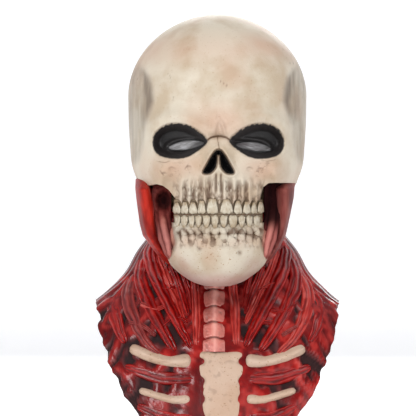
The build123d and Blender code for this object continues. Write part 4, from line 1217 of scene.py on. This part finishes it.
def breastbone_plate():
    """Upper breastbone: a domed strip of tabled half width, notched at the neck and pitted for the ribs."""
    v, s = np.meshgrid(np.linspace(0, 1, 120), np.linspace(-1, 1, 61), indexing="ij")
    half = np.interp(v, [0, 0.06, 0.18, 0.30, 0.42, 0.55, 0.7, 0.85, 0.96, 1],
                     [18, 25, 26.5, 24, 21, 22.5, 20, 18, 13, 7])
    x = 4.5 + half * s
    z = mix(-337.0, -441.0, v) - 5 * (1 - s * s) * (1 - v) * smooth(0.1, 0, v)
    dome = np.sqrt(np.clip(1 - np.abs(s) ** 5, 0, 1)) * np.sqrt(np.clip(1 - np.abs(2 * v - 1) ** 18, 0, 1))
    bumps = hill(s, 0, 0.35) * 0.8 + 0.7 * noise(x, 0 * x, z, 9, 89, 3)
    pits = sum(hill(np.hypot(np.abs(x - 4.5) - 21, z - level), 0, 3.4) for level in (-352, -372, -391, -412))
    pits = np.clip(pits, 0, 1)
    y = bib_front_y(x, z) + 1.5 - 5.0 * dome - bumps + 2.6 * pits
    masks = {
        # Painted shade along the plate's edges and in the rib pits, with brown wash blotches
        "wash": np.clip(smooth(0.55, 0.1, dome) + 0.85 * pits
                        + 0.3 * smooth(0.2, 0.7, noise(x, y, z, 5, 91, 2)), 0, 1),
        "blush": 1.0 + 0 * x,
        "speck": 0.6 + 0 * x,
    }
    return grid_object("breastbone_plate", np.stack([x, y, z], -1), masks, BONE)


# ---------------------------------------------------------------- soft parts inside
def head_pad(name, first, last, top, bottom):
    """Foam pad against the inside of the head between two angles and two levels: the head's outline inset by
    a thickness that swells from rim to middle, its corners pulled in.
    """
    s, t = np.meshgrid(np.linspace(-1, 1, 45), np.linspace(-1, 1, 33), indexing="ij")
    pull = 1 - 0.06 * (s * s * t * t)
    angle = (first + last) / 2 + (last - first) / 2 * s * pull
    z = (top + bottom) / 2 + (bottom - top) / 2 * t * pull
    swell = (np.clip(1 - s**6, 0, 1) * np.clip(1 - t**6, 0, 1)) ** 0.4
    outer_inset = 3.2 + 1.2 * (1 - swell)
    inner_inset = outer_inset + 8.6 * swell * (1 - 0.06 * np.cos(s * 9))
    points = []
    for inset in (outer_inset, inner_inset):
        x, y = head_point(angle, z, inset)
        points.append(np.stack([x, y, z], -1))
    rows, cols = s.shape
    faces = np.vstack([quads(rows, cols), quads(rows, cols, start=rows * cols, flip=True)])
    obj = mesh_object(name, np.concatenate([p.reshape(-1, 3) for p in points]), faces, {}, FOAM)
    return obj


def crown_cushion():
    """Round foam cushion under the crown, flat beneath and domed above, with a stitched channel across it."""
    a, r = np.meshgrid(np.linspace(0, 2 * np.pi, 65)[:-1], np.linspace(0, 1, 25), indexing="ij")
    swell = np.clip(1 - r**6, 0, 1) ** 0.5
    x, y = 41 * r * np.sin(a), 1 - 40 * r * np.cos(a)
    top = 9.2 * swell * (1 - 0.45 * r**2) - 0.7 * hill(x, 0, 1.2) * swell
    sheets = [np.stack([x, y, top], -1), np.stack([x, y, 0 * x], -1)]
    rows, cols = a.shape
    faces = np.vstack([quads(rows, cols, True), quads(rows, cols, True, start=rows * cols, flip=True)])
    obj = mesh_object("crown_cushion", np.concatenate([p.reshape(-1, 3) for p in sheets]), faces, {}, FOAM)
    return obj


def chin_cushion():
    """Foam cup for the wearer's chin: a bowl with a rolled rim, lying inside the chin."""
    a, v = np.meshgrid(np.linspace(0, 2 * np.pi, 65)[:-1], np.linspace(0, 1, 41), indexing="ij")
    out = np.interp(v, [0, 0.1, 0.30, 0.45, 0.50, 0.55, 0.62, 0.85, 1],
                    [0, 0.45, 0.88, 0.97, 0.94, 0.86, 0.76, 0.42, 0])
    z = np.interp(v, [0, 0.1, 0.30, 0.45, 0.50, 0.55, 0.62, 0.85, 1],
                  [-262, -261, -252, -241, -238.6, -239.5, -244, -253.5, -254.5])
    x, y = 25 * out * np.sin(a), -75.5 - 11.5 * out * np.cos(a)
    obj = grid_object("chin_cushion", np.stack([x, y, z], -1), {}, FOAM, wrap_rows=True)
    return obj


# ---------------------------------------------------------------- assembly
def build():
    """Makes every piece, hides the imported part it stands in for, and hangs most pieces on the body they
    ride on.
    """
    done = skull()
    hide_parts("skull_shell")
    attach(done, "skull")
    for side, word in ((1, "left"), (-1, "right")):
        slit = sight_slit(side)
        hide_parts(f"eye_screen_{word}")
        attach(slit, "skull")
        arm = jaw_arm(side)
        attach(arm, "jaw")
        muscle = masseter(side)
        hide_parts(f"masseter_{word}")
        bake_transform(muscle)
        tissue = cheek_tissue(side)
        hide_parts(f"cheek_lining_{word}")
        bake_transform(tissue)
        pad = head_pad(f"temple_cushion_{word}", side * 1.20, side * 1.86, -61, -119)
        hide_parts(f"temple_pad_{word}")
        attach(pad, "skull")
        path = [(side * 28 + 1, -351), (side * 50, -352), (side * 70, -347), (side * 92, -338)]
        bone = strand(f"collarbone_{word}_bone", path, [8.5, 6, 6.5, 6], 8, BONE, 101 + side, 0.5, 0)
        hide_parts(f"collarbone_{word}")
        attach(bone, "skull")
        path = [(side * 29 + 1, -391), (side * 50, -391), (side * 82, -382)]
        rib = strand(f"rib_{word}_bone", path, [6, 4.5, 4], 5.5, BONE, 107 + side, 0.5, 0)
        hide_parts(f"rib_{word}")
        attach(rib, "skull")
    nose = nose_panel()
    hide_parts("nose_screen")
    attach(nose, "skull")
    upper = tooth_row("upper_crowns", UPPER_TEETH, lambda x: gum_arc(x) - 1.5)
    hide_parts("upper_teeth")
    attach(upper, "skull")
    lower = tooth_row("lower_crowns", LOWER_TEETH, lambda x: gum_arc(x) - 1.2)
    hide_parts("lower_teeth")
    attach(lower, "jaw")
    chin = jaw()
    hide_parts("jaw_shell")
    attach(chin, "jaw")
    neck = bib()
    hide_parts("neck_bib")
    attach(neck, "skull")
    flesh = {"red": MUSCLE_RED, "pink": MUSCLE_PINK, "dusk": MUSCLE_DUSK}
    for k, (name, path, widths, height, tone) in enumerate(NECK_STRANDS):
        band = strand(name, path, widths, height, flesh[tone], 111 + 3 * k, 1.5, 0.5 if tone == "pink"
                      else 0.15)
        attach(band, "skull")
        if name in ("neck_strand_right_3", "neck_strand_left_3"):
            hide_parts("neck_muscle_" + ("right" if "right" in name else "left"))
    spine = vertebrae()
    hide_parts("neck_vertebrae")
    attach(spine, "skull")
    plate = breastbone_plate()
    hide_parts("breastbone")
    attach(plate, "skull")
    for name, first, last, top, bottom, node in (
        ("forehead_cushion", -0.50, 0.50, -49, -97, "forehead_pad"),
        ("rear_cushion", math.pi - 0.42, math.pi + 0.42, -61, -119, "rear_pad"),
    ):
        pad = head_pad(name, first, last, top, bottom)
        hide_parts(node)
        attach(pad, "skull")
    crown = crown_cushion()
    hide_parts("crown_pad")
    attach(crown, "skull")
    cup = chin_cushion()
    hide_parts("chin_cup")
    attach(cup, "jaw")


FINISHES = {
    "pivot_bracket": PLASTIC, "pivot_washer": PLASTIC, "strap_slider": PLASTIC, "pivot_pin": STEEL,
    "pivot_spring": STEEL,
    "chin_strap": WEBBING, "closure_tab": WEBBING, "tab_anchor": WEBBING, "hook_patch": HOOKS,
    "loop_patch": HOOKS,
}


def finish_hardware():
    """Gives the engineered parts that stay in view their finishes."""
    for name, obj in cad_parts.items():
        for start, material in FINISHES.items():
            if name.startswith(start):
                for slot in obj.material_slots:
                    slot.material = material


def studio():
    """Pale bowl under and around, soft lights and a level camera five and a half metres in front."""
    floor = -452.6
    turn, way = np.meshgrid(np.linspace(0, 2 * np.pi, 65), np.linspace(0, 1, 31), indexing="ij")
    bend = np.clip((way - 0.6) / 0.2, 0, 1) * np.pi / 2
    radius = 7000 * np.clip(way / 0.6, 0, 1) + 1200 * np.sin(bend)
    z = floor + 1200 * (1 - np.cos(bend)) + 3500 * np.clip((way - 0.8) / 0.2, 0, 1)
    paper = Paint("sweep_paper", rough=0.95, gloss=0.1)
    paper.shader.inputs["Emission Color"].default_value = (1, 1, 1, 1)
    paper.shader.inputs["Emission Strength"].default_value = 0.46
    paper = paper.ground((0.8, 0.8, 0.81)).done()
    sweep = grid_object("studio_sweep", np.stack([radius * np.sin(turn), radius * np.cos(turn), z], -1), {},
                        paper)
    for name, place, size, power in (
        ("key", (-0.9, -2.1, 1.0), 0.9, 27), ("fill", (1.4, -1.7, 0.2), 1.4, 6),
        ("top", (0.1, -0.3, 1.6), 1.0, 9), ("back", (0.3, 3.0, 1.2), 1.5, 30),
    ):
        light = bpy.data.lights.new(name, "AREA")
        light.size, light.energy = size, power
        lamp = bpy.data.objects.new(name, light)
        bpy.context.scene.collection.objects.link(lamp)
        lamp.location = place
        aim = np.array([0, 0, -0.2]) - np.array(place)
        flat = math.hypot(aim[0], aim[1])
        lamp.rotation_euler = (math.atan2(flat, -aim[2]), 0, math.atan2(aim[1], aim[0]) - math.pi / 2)
    world = bpy.data.worlds.new("studio")
    world.use_nodes = True
    world.node_tree.nodes["Background"].inputs["Color"].default_value = (0.92, 0.94, 1, 1)
    world.node_tree.nodes["Background"].inputs["Strength"].default_value = 0.35
    bpy.context.scene.world = world
    lens = bpy.data.cameras.new("camera")
    lens.lens, lens.sensor_width = 457.7, 36
    eye = bpy.data.objects.new("camera", lens)
    bpy.context.scene.collection.objects.link(eye)
    eye.location = (-0.0099, -5.6, -0.1919)
    eye.rotation_euler = (math.pi / 2, 0, 0)
    bpy.context.scene.camera = eye


build()
finish_hardware()
studio()
bpy.context.scene.view_settings.view_transform = "Standard"
